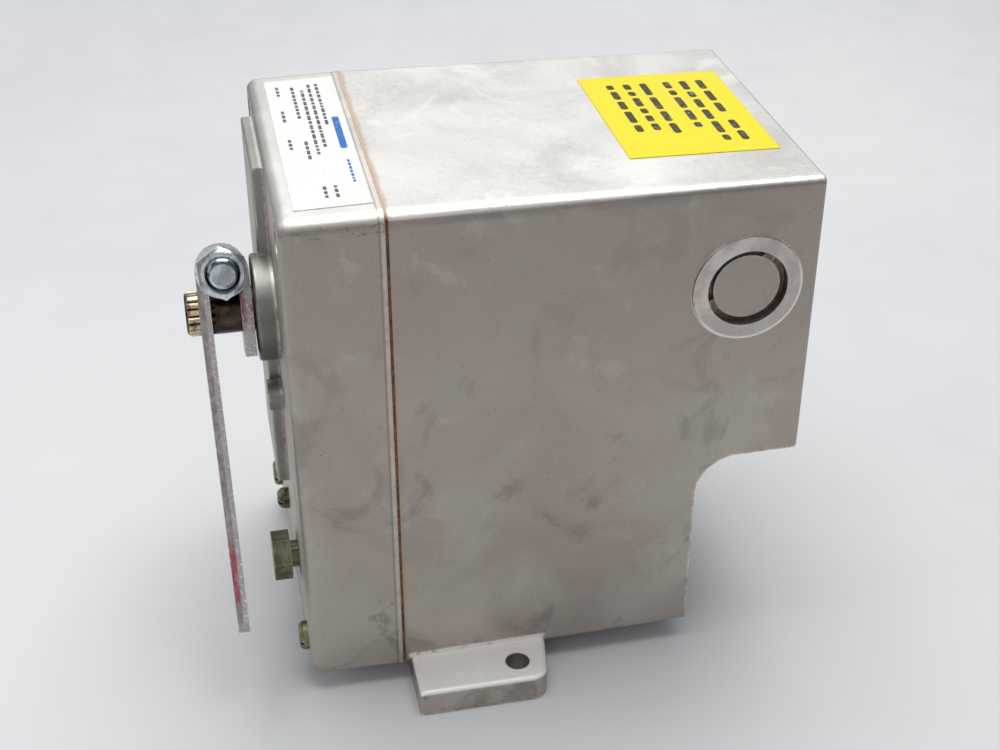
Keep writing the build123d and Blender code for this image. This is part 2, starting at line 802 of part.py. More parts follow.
with BuildPart() as crank_arm:
    # the folded strap seen from its side
    with BuildSketch(arm_side):
        with Locations((loop_y, clamp_height)):
            Circle(arm_depth / 2)
        with Locations((loop_y, clamp_height / 2)):
            Rectangle(arm_depth, clamp_height)
        with BuildLine():
            arm_end = -(arm_reach + arm_width / 2)
            Polyline(
                (arm_outer_face, 0),
                (arm_outer_face + arm_thickness, 0),
                (arm_outer_face + arm_thickness + arm_lean, arm_end),
                (arm_outer_face + arm_lean, arm_end),
                close=True,
            )
        make_face()
        with Locations((arm_outer_face + arm_depth - arm_thickness / 2, -arm_short_leg / 2)):
            Rectangle(arm_thickness, arm_short_leg)
        with Locations((loop_y, clamp_height)):
            Circle(arm_gap / 2, mode=Mode.SUBTRACT)
        with Locations((loop_y, clamp_height / 2)):
            Rectangle(arm_gap, clamp_height, mode=Mode.SUBTRACT)
    extrude(amount=arm_width / 2, both=True)
    # round tip, eased corners on the short leg
    tip_edges = edges().sort_by(lambda edge: (edge.center() - shaft_centre).dot(arm_up))
    fillet([edge for edge in tip_edges[:4] if abs(edge.tangent_at(0.5).Y) > 0.5], arm_width / 2 - 0.02)
    with BuildSketch(arm_face):
        Circle(shaft_diameter / 2 + arm_bore_clearance)
        with Locations((0, arm_depth)):
            Rectangle(arm_slit, 2 * arm_depth)
        with Locations((0, clamp_height)):
            Rectangle(arm_slit, 2 * arm_depth)
    extrude(amount=2 * abs(arm_outer_face), mode=Mode.SUBTRACT)
    with BuildSketch(arm_face):
        with Locations([(0, -arm_reach + index * linkage_pitch) for index in range(linkage_count)]):
            Circle(linkage_hole / 2)
    extrude(amount=2 * abs(arm_outer_face), mode=Mode.SUBTRACT)
finish(crank_arm, "crank_arm")


def clamp_plane(along):
    """A plane across the clamp bolt's axis, at a distance from the arm's middle."""
    centre = shaft_centre + arm_up * clamp_height + arm_right * along + Vector(0, loop_y, 0)
    return Plane(origin=centre, x_dir=(0, 1, 0), z_dir=arm_right)


washer_start = arm_width / 2
nut_start = washer_start + lock_washer_thickness
nut_end = nut_start + nut_height

with BuildPart() as clamp_bolt:
    with BuildSketch(clamp_plane(-arm_width / 2)):
        RegularPolygon(hex_across_flats / 2, 6, major_radius=False, rotation=nut_turn)
    extrude(amount=-bolt_head_height)
    with BuildSketch(clamp_plane(-arm_width / 2)):
        Circle(bolt_diameter / 2)
    extrude(amount=arm_width / 2 + nut_end + bolt_end)
    chamfer(faces().sort_by(Axis.X)[-1].edges(), bolt_chamfer)
finish(clamp_bolt, "clamp_bolt")

with BuildPart() as lock_washer:
    with BuildSketch(clamp_plane(washer_start)):
        Circle(lock_washer_diameter / 2)
        Circle(bolt_diameter / 2 + lock_washer_clearance, mode=Mode.SUBTRACT)
        # the split of the spring washer
        with Locations((0, -lock_washer_diameter / 2)):
            Rectangle(
                lock_washer_split,
                lock_washer_diameter - bolt_diameter,
                rotation=lock_washer_angle,
                mode=Mode.SUBTRACT,
            )
    extrude(amount=lock_washer_thickness)
finish(lock_washer, "lock_washer")

with BuildPart() as nut_cone:
    # rounds the corners of a hex nut on both faces
    with BuildSketch(clamp_plane(nut_start)):
        Circle(hex_across_flats / sqrt(3))
    extrude(amount=nut_height)
    for face in (faces().sort_by(Axis.X)[0], faces().sort_by(Axis.X)[-1]):
        rim = face.edges()
        chamfer(rim, hex_across_flats / sqrt(3) - nut_face_ring / 2, nut_chamfer, reference=face)

with BuildPart() as clamp_nut:
    with BuildSketch(clamp_plane(nut_start)):
        RegularPolygon(hex_across_flats / 2, 6, major_radius=False, rotation=30 + nut_turn)
        Circle(bolt_diameter / 2, mode=Mode.SUBTRACT)
    extrude(amount=nut_height)
    add(nut_cone.part, mode=Mode.INTERSECT)
    chamfer(faces().sort_by(Axis.X)[-1].edges().sort_by(SortBy.LENGTH)[:1], nut_countersink)
finish(clamp_nut, "clamp_nut")


# ---------------------------------------------------------------- gear train
def gear_cluster(axis, bore, wheel_front, wheel_face, wheel_module, wheel_angle, pinion):
    """A wheel and pinion in one, turning on a fixed arbor, in the active part."""
    pinion_front, teeth, module, pinion_angle = pinion
    gear(axis, wheel_front, wheel_face, wheel_teeth, wheel_module, wheel_angle, True)
    gear(axis, pinion_front, wheel_front - pinion_front, teeth, module, pinion_angle, False)
    drill(*axis, pinion_front, wheel_front + wheel_face - pinion_front, bore + 2 * running_clearance)


# a pinion has a gap, not a tooth, towards the wheel that it meshes with
with BuildPart() as third_gear:
    gear_cluster(
        third_axis,
        third_arbor,
        third_wheel_front,
        third_face,
        third_module,
        second_direction,
        (
            output_gear_front - face_gap / 3,
            third_pinion_teeth,
            output_module,
            third_direction + 180 + 180 / third_pinion_teeth,
        ),
    )
finish(third_gear, "third_gear")

with BuildPart() as second_gear:
    gear_cluster(
        second_axis,
        second_arbor,
        second_wheel_front,
        second_face,
        second_module,
        first_direction,
        (
            third_wheel_front - face_gap / 3,
            pinion_teeth,
            third_module,
            second_direction + 180 + 180 / pinion_teeth,
        ),
    )
finish(second_gear, "second_gear")

with BuildPart() as first_gear:
    gear_cluster(
        first_axis,
        first_arbor,
        first_wheel_front,
        first_face,
        first_module,
        motor_direction,
        (
            second_wheel_front - face_gap / 3,
            pinion_teeth,
            second_module,
            first_direction + 180 + 180 / pinion_teeth,
        ),
    )
finish(first_gear, "first_gear")

motor_pinion_front = first_wheel_front - face_gap / 3
motor_pinion_length = first_face + 2 * face_gap / 3
with BuildPart() as motor_pinion:
    gear(
        motor_axis,
        motor_pinion_front,
        motor_pinion_length,
        pinion_teeth,
        first_module,
        motor_direction + 180 + 180 / pinion_teeth,
        False,
    )
    drill(*motor_axis, motor_pinion_front, motor_pinion_length, motor_shaft_nose)
finish(motor_pinion, "motor_pinion")

with BuildPart() as gear_arbors:
    for axis, diameter, front in arbors:
        disc(*axis, front, plate_rear - front, diameter)
finish(gear_arbors, "gear_arbors")

motor_x, motor_z = motor_axis
motor_screws_at = [(motor_x - bracket_screw_x, motor_z), (motor_x + bracket_screw_x, motor_z)]
switch_face = shaft_x - cam_diameter / 2 - lever_clearance - lever_nose - lever_thickness - lever_gap
switch_middle_z = shaft_z
switch_screws_at = [
    (switch_face - 0.6 * switch_height, switch_middle_z + side * switch_screw_spacing / 2) for side in (-1, 1)
]
flange_screws_at = [(side * shelf_width / 4, shelf_z + shelf_flange / 2) for side in (-1, 1)]

with BuildPart() as gear_plate:
    box((-plate_half_width, plate_half_width), (plate_front, plate_rear), (plate_bottom, plate_top))
    fillet(edges().filter_by(Axis.Y), cover_screw_diameter)
    drill(shaft_x, shaft_z, plate_front, plate_thickness, rear_bushing_diameter)
    drill(motor_x, motor_z, plate_front, plate_thickness, 2 * motor_shaft)
    for axis, diameter, front in arbors:
        drill(*axis, plate_front, plate_thickness, diameter)
    for x, z in plate_posts + [front_post]:
        drill(x, z, plate_front, plate_thickness, small_screw)
    for x, z in motor_screws_at:
        drill(x, z, plate_front, plate_thickness, motor_screw)
    for x, z in switch_screws_at:
        drill(x, z, plate_front, plate_thickness, switch_screw)
    for x, z in flange_screws_at:
        drill(x, z, plate_front, plate_thickness, small_screw)
finish(gear_plate, "gear_plate")

with BuildPart() as plate_screws:
    for x, z in plate_posts:
        pan_screw(
            x,
            z,
            plate_rear,
            plate_thickness + plate_screw_reach,
            small_screw,
            small_screw_head,
            small_screw_head_height,
            -1,
        )
finish(plate_screws, "plate_screws")

with BuildPart() as post_screw:
    pan_screw(
        *front_post,
        front_wall_outer,
        plate_rear - front_wall_outer,
        small_screw,
        small_screw_head,
        post_screw_head_height,
        1,
    )
finish(post_screw, "post_screw")

with BuildPart() as cover_screws:
    for x, z in cover_posts:
        recess = counterbore_depth if z == cover_post_high else 0.0
        pan_screw(
            x,
            z,
            front_wall_outer + recess,
            rear_face + cover_post_depth / 2 - front_wall_outer - recess,
            cover_screw_diameter,
            cover_screw_head,
            cover_screw_head_height,
            1,
        )
finish(cover_screws, "cover_screws")

with BuildPart() as front_bolt:
    with BuildSketch(facing_front(front_bolt_head)):
        with Locations((front_bolt_x, front_bolt_z)):
            RegularPolygon(hex_across_flats / 2, 6, major_radius=False, rotation=front_bolt_turn)
    extrude(amount=bolt_head_height)
    disc(front_bolt_x, front_bolt_z, front_bolt_head, front_bolt_length, bolt_diameter)
finish(front_bolt, "front_bolt")


# ---------------------------------------------------------------- motor
stack_rear = stack_front + stack_length
bar_bottom = motor_z + stack_above - stack_bar
bar_top = motor_z + stack_above
bore_diameter = rotor_diameter + 2 * air_gap

with BuildPart() as motor_stator:
    box(
        (motor_x - stack_width / 2, motor_x + stack_width / 2),
        (stack_front, stack_rear),
        (motor_z - stack_below, motor_z + stack_above),
    )
    box(
        (motor_x - window_width / 2, motor_x + window_width / 2),
        (stack_front, stack_rear),
        (bar_bottom - window_height, bar_bottom),
        mode=Mode.SUBTRACT,
    )
    # pole gap between the bore and the window
    box(
        (motor_x - pole_gap / 2, motor_x + pole_gap / 2),
        (stack_front, stack_rear),
        (motor_z, bar_bottom - window_height),
        mode=Mode.SUBTRACT,
    )
    drill(motor_x, motor_z, stack_front, stack_length, bore_diameter)
    for x, z in motor_screws_at:
        drill(x, z, stack_front, stack_length, motor_screw + 2 * hole_clearance)
finish(motor_stator, "motor_stator")


def bobbin_section(grow):
    """The section of the coil's bar, grown by a layer, in the active sketch on Plane.YZ."""
    with Locations(((stack_front + stack_rear) / 2, (bar_bottom + bar_top) / 2)):
        Rectangle(stack_length + 2 * grow, stack_bar + 2 * grow)


bobbin_length = window_width - 2 * bobbin_clearance
with BuildPart() as coil_bobbin:
    with BuildSketch(Plane.YZ.offset(motor_x - bobbin_length / 2)):
        bobbin_section(bobbin_wall)
    extrude(amount=bobbin_length)
    for start in (motor_x - bobbin_length / 2, motor_x + bobbin_length / 2 - bobbin_flange):
        with BuildSketch(Plane.YZ.offset(start)):
            bobbin_section(bobbin_wall + coil_depth + bobbin_lip)
        extrude(amount=bobbin_flange)
    with BuildSketch(Plane.YZ.offset(motor_x - bobbin_length / 2)):
        bobbin_section(0)
    extrude(amount=bobbin_length, mode=Mode.SUBTRACT)
finish(coil_bobbin, "coil_bobbin")

coil_length = bobbin_length - 2 * bobbin_flange
with BuildPart() as motor_coil:
    with BuildSketch(Plane.YZ.offset(motor_x - coil_length / 2)):
        bobbin_section(bobbin_wall + coil_depth)
        fillet(vertices(), coil_depth / 2)
    extrude(amount=coil_length)
    with BuildSketch(Plane.YZ.offset(motor_x - coil_length / 2)):
        bobbin_section(bobbin_wall)
    extrude(amount=coil_length, mode=Mode.SUBTRACT)
finish(motor_coil, "motor_coil")

with BuildPart() as motor_rotor:
    disc(motor_x, motor_z, stack_front, stack_length, rotor_diameter)
    # end rings of the cage
    cage_front = stack_front - bracket_leg / 2
    disc(motor_x, motor_z, cage_front, stack_length + bracket_leg, rotor_diameter - 2 * cage_inset)
    drill(motor_x, motor_z, stack_front - bracket_leg / 2, stack_length + bracket_leg, motor_shaft)
finish(motor_rotor, "motor_rotor")

bracket_front = stack_front - bracket_leg - bracket_thickness
bracket_rear = stack_rear + bracket_leg
with BuildPart() as rotor_shaft:
    disc(motor_x, motor_z, motor_pinion_front, motor_pinion_length, motor_shaft_nose)
    nose_end = motor_pinion_front + motor_pinion_length
    disc(motor_x, motor_z, nose_end, motor_shaft_rear - nose_end, motor_shaft)
finish(rotor_shaft, "rotor_shaft")


def motor_bracket(bar_front, leg_front):
    """An end bracket: a bar that holds the bearing and two legs that stand on the stack."""
    leg = 2 * motor_screw
    box(
        (motor_x - bracket_screw_x - leg / 2, motor_x + bracket_screw_x + leg / 2),
        (bar_front, bar_front + bracket_thickness),
        (motor_z - bracket_bar_height / 2, motor_z + bracket_bar_height / 2),
    )
    for x, z in motor_screws_at:
        box(
            (x - leg / 2, x + leg / 2),
            (leg_front, leg_front + bracket_leg),
            (z - bracket_bar_height / 2, z + bracket_bar_height / 2),
        )
    start = min(bar_front, leg_front)
    for x, z in motor_screws_at:
        drill(x, z, start, bracket_thickness + bracket_leg, motor_screw + 2 * hole_clearance)
    drill(motor_x, motor_z, bar_front, bracket_thickness, motor_shaft + 2 * motor_bushing_wall)


with BuildPart() as front_bracket:
    motor_bracket(bracket_front, stack_front - bracket_leg)
finish(front_bracket, "front_bracket")

with BuildPart() as rear_bracket:
    motor_bracket(bracket_rear, stack_rear)
finish(rear_bracket, "rear_bracket")

with BuildPart() as motor_bushings:
    for front in (bracket_front, bracket_rear):
        ring(
            motor_x,
            motor_z,
            front,
            bracket_thickness,
            motor_shaft + 2 * motor_bushing_wall,
            motor_shaft + 2 * running_clearance,
        )
finish(motor_bushings, "motor_bushings")

with BuildPart() as motor_spacers:
    for x, z in motor_screws_at:
        ring(x, z, plate_rear, bracket_front - plate_rear, 2 * motor_screw, motor_screw + 2 * hole_clearance)
finish(motor_spacers, "motor_spacers")

bracket_end = bracket_rear + bracket_thickness
with BuildPart() as motor_screws:
    for x, z in motor_screws_at:
        pan_screw(
            x,
            z,
            bracket_end,
            bracket_end - plate_front,
            motor_screw,
            2 * motor_screw,
            small_screw_head_height,
            -1,
        )
finish(motor_screws, "motor_screws")


# ---------------------------------------------------------------- limit cams and switches
lever_direction = 180.0  # the side of the shaft that the levers stand on
half_travel = 90.0


def limit_cam(front, lobe_start):
    """A cam on the output shaft with one raised lobe, in the active part."""
    disc(shaft_x, shaft_z, front, cam_width, cam_diameter)
    lobe_radius = cam_diameter / 2 + cam_lobe
    with BuildSketch(facing_front(front)) as lobe:
        with BuildLine():
            Line(output_axis, polar(output_axis, lobe_radius, lobe_start))
            CenterArc(output_axis, lobe_radius, lobe_start, lobe_span)
            Line(polar(output_axis, lobe_radius, lobe_start + lobe_span), output_axis)
        make_face()
    extrude(lobe.sketch, amount=-cam_width)
    drill(shaft_x, shaft_z, front, cam_width, shaft_tail_diameter)
    with BuildSketch(Plane.XY.offset(shaft_z)) as screw_hole:
        with Locations((shaft_x, front + cam_width / 2)):
            Circle(cam_set_screw / 2)
    extrude(screw_hole.sketch, amount=-cam_diameter, mode=Mode.SUBTRACT)


with BuildPart() as opening_cam:
    # the lobe ends just short of the lever when the shaft has turned up to its upper limit
    limit_cam(cam_front, lever_direction - lobe_stop - half_travel - lobe_span)
finish(opening_cam, "opening_cam")

with BuildPart() as closing_cam:
    limit_cam(closing_cam_front, lever_direction + lobe_stop + half_travel)
finish(closing_cam, "closing_cam")

with BuildPart() as cam_set_screws:
    for front in (cam_front, closing_cam_front):
        with BuildSketch(Plane.XY.offset(shaft_z - shaft_tail_diameter / 2)):
            with Locations((shaft_x, front + cam_width / 2)):
                Circle(cam_set_screw / 2)
        extrude(amount=-(cam_diameter - shaft_tail_diameter) / 2 + 0.5)
finish(cam_set_screws, "cam_set_screws")

lever_x = switch_face + lever_gap + lever_thickness / 2
pivot_z = shaft_z - lever_length
nose_x = shaft_x - cam_diameter / 2 - lever_clearance - lever_nose / 2


def limit_lever(middle):
    """A leaf with an eye at its lower end and a round nose at its tip, in the active part."""
    with BuildSketch(facing_front(middle + lever_width / 2)) as leaf:
        with Locations((lever_x, pivot_z + lever_length / 2)):
            Rectangle(lever_thickness, lever_length + lever_nose / 2)
        with Locations((lever_x, pivot_z)):
            Circle(lever_eye / 2)
        with Locations((nose_x, shaft_z)):
            Circle(lever_nose / 2)
        with Locations(((lever_x + nose_x) / 2, shaft_z)):
            Rectangle(nose_x - lever_x, 2 * lever_thickness)
        with Locations((lever_x, pivot_z)):
            Circle(lever_pin / 2 + running_clearance, mode=Mode.SUBTRACT)
    extrude(leaf.sketch, amount=lever_width)


def limit_switch(middle):
    """A snap-action switch: body, two cheeks with the lever's pin, and plunger, in the active part."""
    back = switch_face - switch_height
    y_range = (middle - switch_width / 2, middle + switch_width / 2)
    box(
        (back, switch_face),
        y_range,
        (switch_middle_z - switch_length / 2, switch_middle_z + switch_length / 2),
    )
    cheek = (switch_width - lever_width) / 2 - cheek_gap
    for start in (y_range[0], y_range[1] - cheek):
        box(
            (switch_face - lever_eye, lever_x + lever_eye / 2),
            (start, start + cheek),
            (pivot_z - lever_eye / 2, switch_middle_z - switch_length / 2 + lever_eye),
        )
    # the cheeks are joined behind the eye
    box(
        (back, lever_x - lever_eye / 2 - eye_gap),
        y_range,
        (pivot_z - lever_eye / 2, switch_middle_z - switch_length / 2),
    )
    disc(lever_x, pivot_z, y_range[0], switch_width, lever_pin)
    with BuildSketch(Plane.YZ.offset(switch_face)) as plunger:
        with Locations((middle, pivot_z + plunger_from_pivot)):
            Circle(plunger_diameter / 2)
    extrude(plunger.sketch, amount=lever_gap / 3)
    for x, z in switch_screws_at:
        drill(x, z, y_range[0], switch_width, switch_screw + hole_clearance)


opening_middle = cam_front + cam_width / 2
closing_middle = closing_cam_front + cam_width / 2
for switch_name, lever_name, middle in (
    ("opening_switch", "opening_lever", opening_middle),
    ("closing_switch", "closing_lever", closing_middle),
):
    with BuildPart() as switch:
        limit_switch(middle)
    finish(switch, switch_name)
    with BuildPart() as lever:
        limit_lever(middle)
    finish(lever, lever_name)

first_switch_front = opening_middle - switch_width / 2
second_switch_front = closing_middle - switch_width / 2
with BuildPart() as switch_spacers:
    for x, z in switch_screws_at:
        for front, rear in (
            (plate_rear, first_switch_front),
            (first_switch_front + switch_width, second_switch_front),
        ):
            ring(x, z, front, rear - front, switch_screw + 2 * spacer_wall, switch_screw + hole_clearance)
finish(switch_spacers, "switch_spacers")

switch_end = second_switch_front + switch_width
with BuildPart() as switch_screws:
    for x, z in switch_screws_at:
        pan_screw(
            x,
            z,
            switch_end,
            switch_end - plate_front,
            switch_screw,
            2 * switch_screw,
            switch_screw_head_height,
            -1,
        )
finish(switch_screws, "switch_screws")


# ---------------------------------------------------------------- shelf, terminals, capacitor
clip_screw_y = shelf_rear - clip_screw_from_rear
terminal_hole_x = terminal_length / 2 - terminal_hole_inset
with BuildPart() as chassis_shelf:
    box((-shelf_width / 2, shelf_width / 2), (plate_rear, shelf_rear), (shelf_z - shelf_thickness, shelf_z))
    box(
        (-shelf_width / 2, shelf_width / 2),
        (plate_rear, plate_rear + shelf_thickness),
        (shelf_z - shelf_thickness, shelf_z + shelf_flange),
    )
    for x, z in flange_screws_at:
        drill(x, z, plate_rear, shelf_thickness, small_screw)
    with BuildSketch(Plane.XY.offset(shelf_z)):
        with Locations((0, clip_screw_y)):
            Circle(small_screw / 2)
        with Locations((-terminal_hole_x, terminal_y), (terminal_hole_x, terminal_y)):
            Circle(small_screw / 2)
    extrude(amount=-shelf_thickness, mode=Mode.SUBTRACT)
finish(chassis_shelf, "chassis_shelf")

with BuildPart() as shelf_screws:
    for x, z in flange_screws_at:
        pan_screw(
            x,
            z,
            plate_rear + shelf_thickness,
            shelf_thickness + plate_thickness,
            small_screw,
            small_screw_head,
            small_screw_head_height,
            -1,
        )
finish(shelf_screws, "shelf_screws")

terminal_pitch = terminal_length / terminal_count
terminal_top = shelf_z + terminal_height
end_barrier_x = (terminal_length - barrier_thickness) / 2
terminals_x = [(index - (terminal_count - 1) / 2) * terminal_pitch for index in range(terminal_count)]
with BuildPart() as terminal_block:
    box(
        (-terminal_length / 2, terminal_length / 2),
        (terminal_y - terminal_depth / 2, terminal_y + terminal_depth / 2),
        (shelf_z, terminal_top),
    )
    # barriers between the terminals
    with BuildSketch(Plane.XY.offset(terminal_top)):
        inner_barriers = [middle + terminal_pitch / 2 for middle in terminals_x[:-1]]
        for x in [-end_barrier_x] + inner_barriers + [end_barrier_x]:
            with Locations((x, terminal_y)):
                Rectangle(barrier_thickness, terminal_depth)
    extrude(amount=barrier_height)
    with BuildSketch(Plane.XY.offset(terminal_top)):
        with Locations([(x, terminal_y) for x in terminals_x]):
            Circle(small_screw / 2)
    extrude(amount=-terminal_height / 2, mode=Mode.SUBTRACT)
finish(terminal_block, "terminal_block")

with BuildPart() as terminal_screws:
    with BuildSketch(Plane.XY.offset(terminal_top)):
        with Locations([(x, terminal_y) for x in terminals_x]):
            Circle(small_screw_head / 2)
    extrude(amount=terminal_head_height)
    with BuildSketch(Plane.XY.offset(terminal_top)):
        with Locations([(x, terminal_y) for x in terminals_x]):
            Circle(small_screw / 2)
    extrude(amount=-terminal_height / 2)
    with BuildSketch(Plane.XY.offset(terminal_top + terminal_head_height)):
        with Locations([(x, terminal_y) for x in terminals_x]):
            Rectangle(2 * small_screw_head, drive_slot)
    extrude(amount=-terminal_slot_depth, mode=Mode.SUBTRACT)
finish(terminal_screws, "terminal_screws")

capacitor_z = shelf_z - shelf_thickness - clip_thickness - capacitor_diameter / 2
with BuildPart() as capacitor:
    with BuildSketch(Plane.YZ.offset(-capacitor_length / 2)):
        with Locations((capacitor_y, capacitor_z)):
            Circle(capacitor_diameter / 2)
    extrude(amount=capacitor_length)
    fillet(edges().filter_by(GeomType.CIRCLE), capacitor_rim_radius)
    # two flat tabs at one end
    for side in (-1, 1):
        tab_y = capacitor_y + side * capacitor_tab_spacing / 2
        box(
            (capacitor_length / 2 - capacitor_tab_root, capacitor_length / 2 + capacitor_tab_length),
            (tab_y - capacitor_tab_width / 2, tab_y + capacitor_tab_width / 2),
            (capacitor_z - capacitor_tab_thickness / 2, capacitor_z + capacitor_tab_thickness / 2),
        )
finish(capacitor, "capacitor")

with BuildPart() as capacitor_clip:
    with BuildSketch(Plane.YZ.offset(-clip_width / 2)):
        with Locations((capacitor_y, capacitor_z)):
            Circle(capacitor_diameter / 2 + clip_thickness)
        with Locations(((capacitor_y + shelf_rear) / 2, shelf_z - shelf_thickness - clip_thickness / 2)):
            Rectangle(shelf_rear - capacitor_y, clip_thickness)
        with Locations((capacitor_y, capacitor_z)):
            Circle(capacitor_diameter / 2, mode=Mode.SUBTRACT)
    extrude(amount=clip_width)
    with BuildSketch(Plane.XY.offset(shelf_z)):
        with Locations((0, clip_screw_y)):
            Circle(small_screw / 2)
    extrude(amount=-shelf_thickness - 2 * clip_thickness, mode=Mode.SUBTRACT)
finish(capacitor_clip, "capacitor_clip")

with BuildPart() as clip_screw:
    with BuildSketch(Plane.XY.offset(shelf_z)):
        with Locations((0, clip_screw_y)):
            Circle(small_screw_head / 2)
    extrude(amount=small_screw_head_height)
    with BuildSketch(Plane.XY.offset(shelf_z)):
        with Locations((0, clip_screw_y)):
            Circle(small_screw / 2)
    extrude(amount=-shelf_thickness - clip_thickness - clip_screw_proud)
finish(clip_screw, "clip_screw")
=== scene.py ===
"""Motorized valve actuator: camera, light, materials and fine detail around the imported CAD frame."""

import json
import math
import random

import bmesh
import bpy
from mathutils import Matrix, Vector


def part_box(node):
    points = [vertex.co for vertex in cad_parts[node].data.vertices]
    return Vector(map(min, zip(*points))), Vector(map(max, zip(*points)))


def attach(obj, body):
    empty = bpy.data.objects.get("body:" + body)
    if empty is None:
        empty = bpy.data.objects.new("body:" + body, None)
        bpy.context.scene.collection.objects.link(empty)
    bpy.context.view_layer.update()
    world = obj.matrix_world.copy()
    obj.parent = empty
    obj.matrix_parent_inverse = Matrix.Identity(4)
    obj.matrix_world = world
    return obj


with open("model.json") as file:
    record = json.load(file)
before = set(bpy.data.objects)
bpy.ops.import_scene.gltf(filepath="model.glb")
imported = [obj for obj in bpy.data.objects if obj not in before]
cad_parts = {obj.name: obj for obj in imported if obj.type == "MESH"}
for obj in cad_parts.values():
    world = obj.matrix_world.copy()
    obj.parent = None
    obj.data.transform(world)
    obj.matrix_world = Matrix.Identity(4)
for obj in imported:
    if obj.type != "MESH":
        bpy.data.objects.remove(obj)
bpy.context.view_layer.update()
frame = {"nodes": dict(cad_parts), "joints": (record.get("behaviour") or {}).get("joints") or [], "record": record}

NODES = frame["nodes"]
RECORD = frame["record"]
MM = 0.001

# ---------------------------------------------------------------- camera
CAMERA_PLACE = Vector((0.4027, -0.0780, 0.3274))
VIEW_AZIMUTH = math.radians(78.07)
VIEW_ELEVATION = math.radians(32.04)
LENS_MM = 57.87
SENSOR_MM = 36.0

# ---------------------------------------------------------------- places read from the frame
MOUNTS = {mount["name"]: Vector(mount["pos_m"]) for mount in RECORD["mounts"]}
KNOCKOUT = MOUNTS["conduit_knockout_near"]
JOINTS = {joint["name"]: joint for joint in frame["joints"]}
SHAFT = Vector(JOINTS["output_turn"]["pos_m"])
gasket_low, gasket_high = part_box("housing_gasket")
SEAM_Y = (gasket_low.y + gasket_high.y) / 2
front_low, front_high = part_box("front_housing")
CASE_TOP = front_high.z
CASE_HALF = (front_high.x - front_low.x) / 2
CASE_BOTTOM = front_low.z
POST_SCREW_HEAD = 3.6 * MM  # proud of the front wall
CASE_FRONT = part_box("post_screw")[0].y + POST_SCREW_HEAD
FOOT_TOP = 8.0 * MM
FOOT_REAR = 10.0 * MM
BOSS_RADIUS = 15.0 * MM
RING_OUTER = 15.25 * MM  # radii of the knockout's raised ring, of its groove and of its disc
RING_INNER = 11.1 * MM
DISC_RADIUS = 9.3 * MM
SPLINE_ROOT = 5.75 * MM
SPLINE_CREST = 6.2 * MM
SHAFT_OIL_END = -62 * MM  # the shaft is oily up to here, and clean steel further in
SHAFT_CLEAN_START = -58 * MM
THREAD_INNER = 3.6 * MM  # the ring of painted shade round the clamp bolt's end, where the nut's countersink shades the thread turns
THREAD_OUTER = 4.35 * MM
arm_low, arm_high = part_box("crank_arm")
ARM_TIP = MOUNTS["linkage_hole"]
ARM_TILT = math.atan2(ARM_TIP.x - SHAFT.x, SHAFT.z - ARM_TIP.z)
ARM_REACH = math.hypot(ARM_TIP.x - SHAFT.x, SHAFT.z - ARM_TIP.z)
bolt_low, bolt_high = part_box("clamp_bolt")
CLAMP_AXIS = (bolt_low + bolt_high) / 2


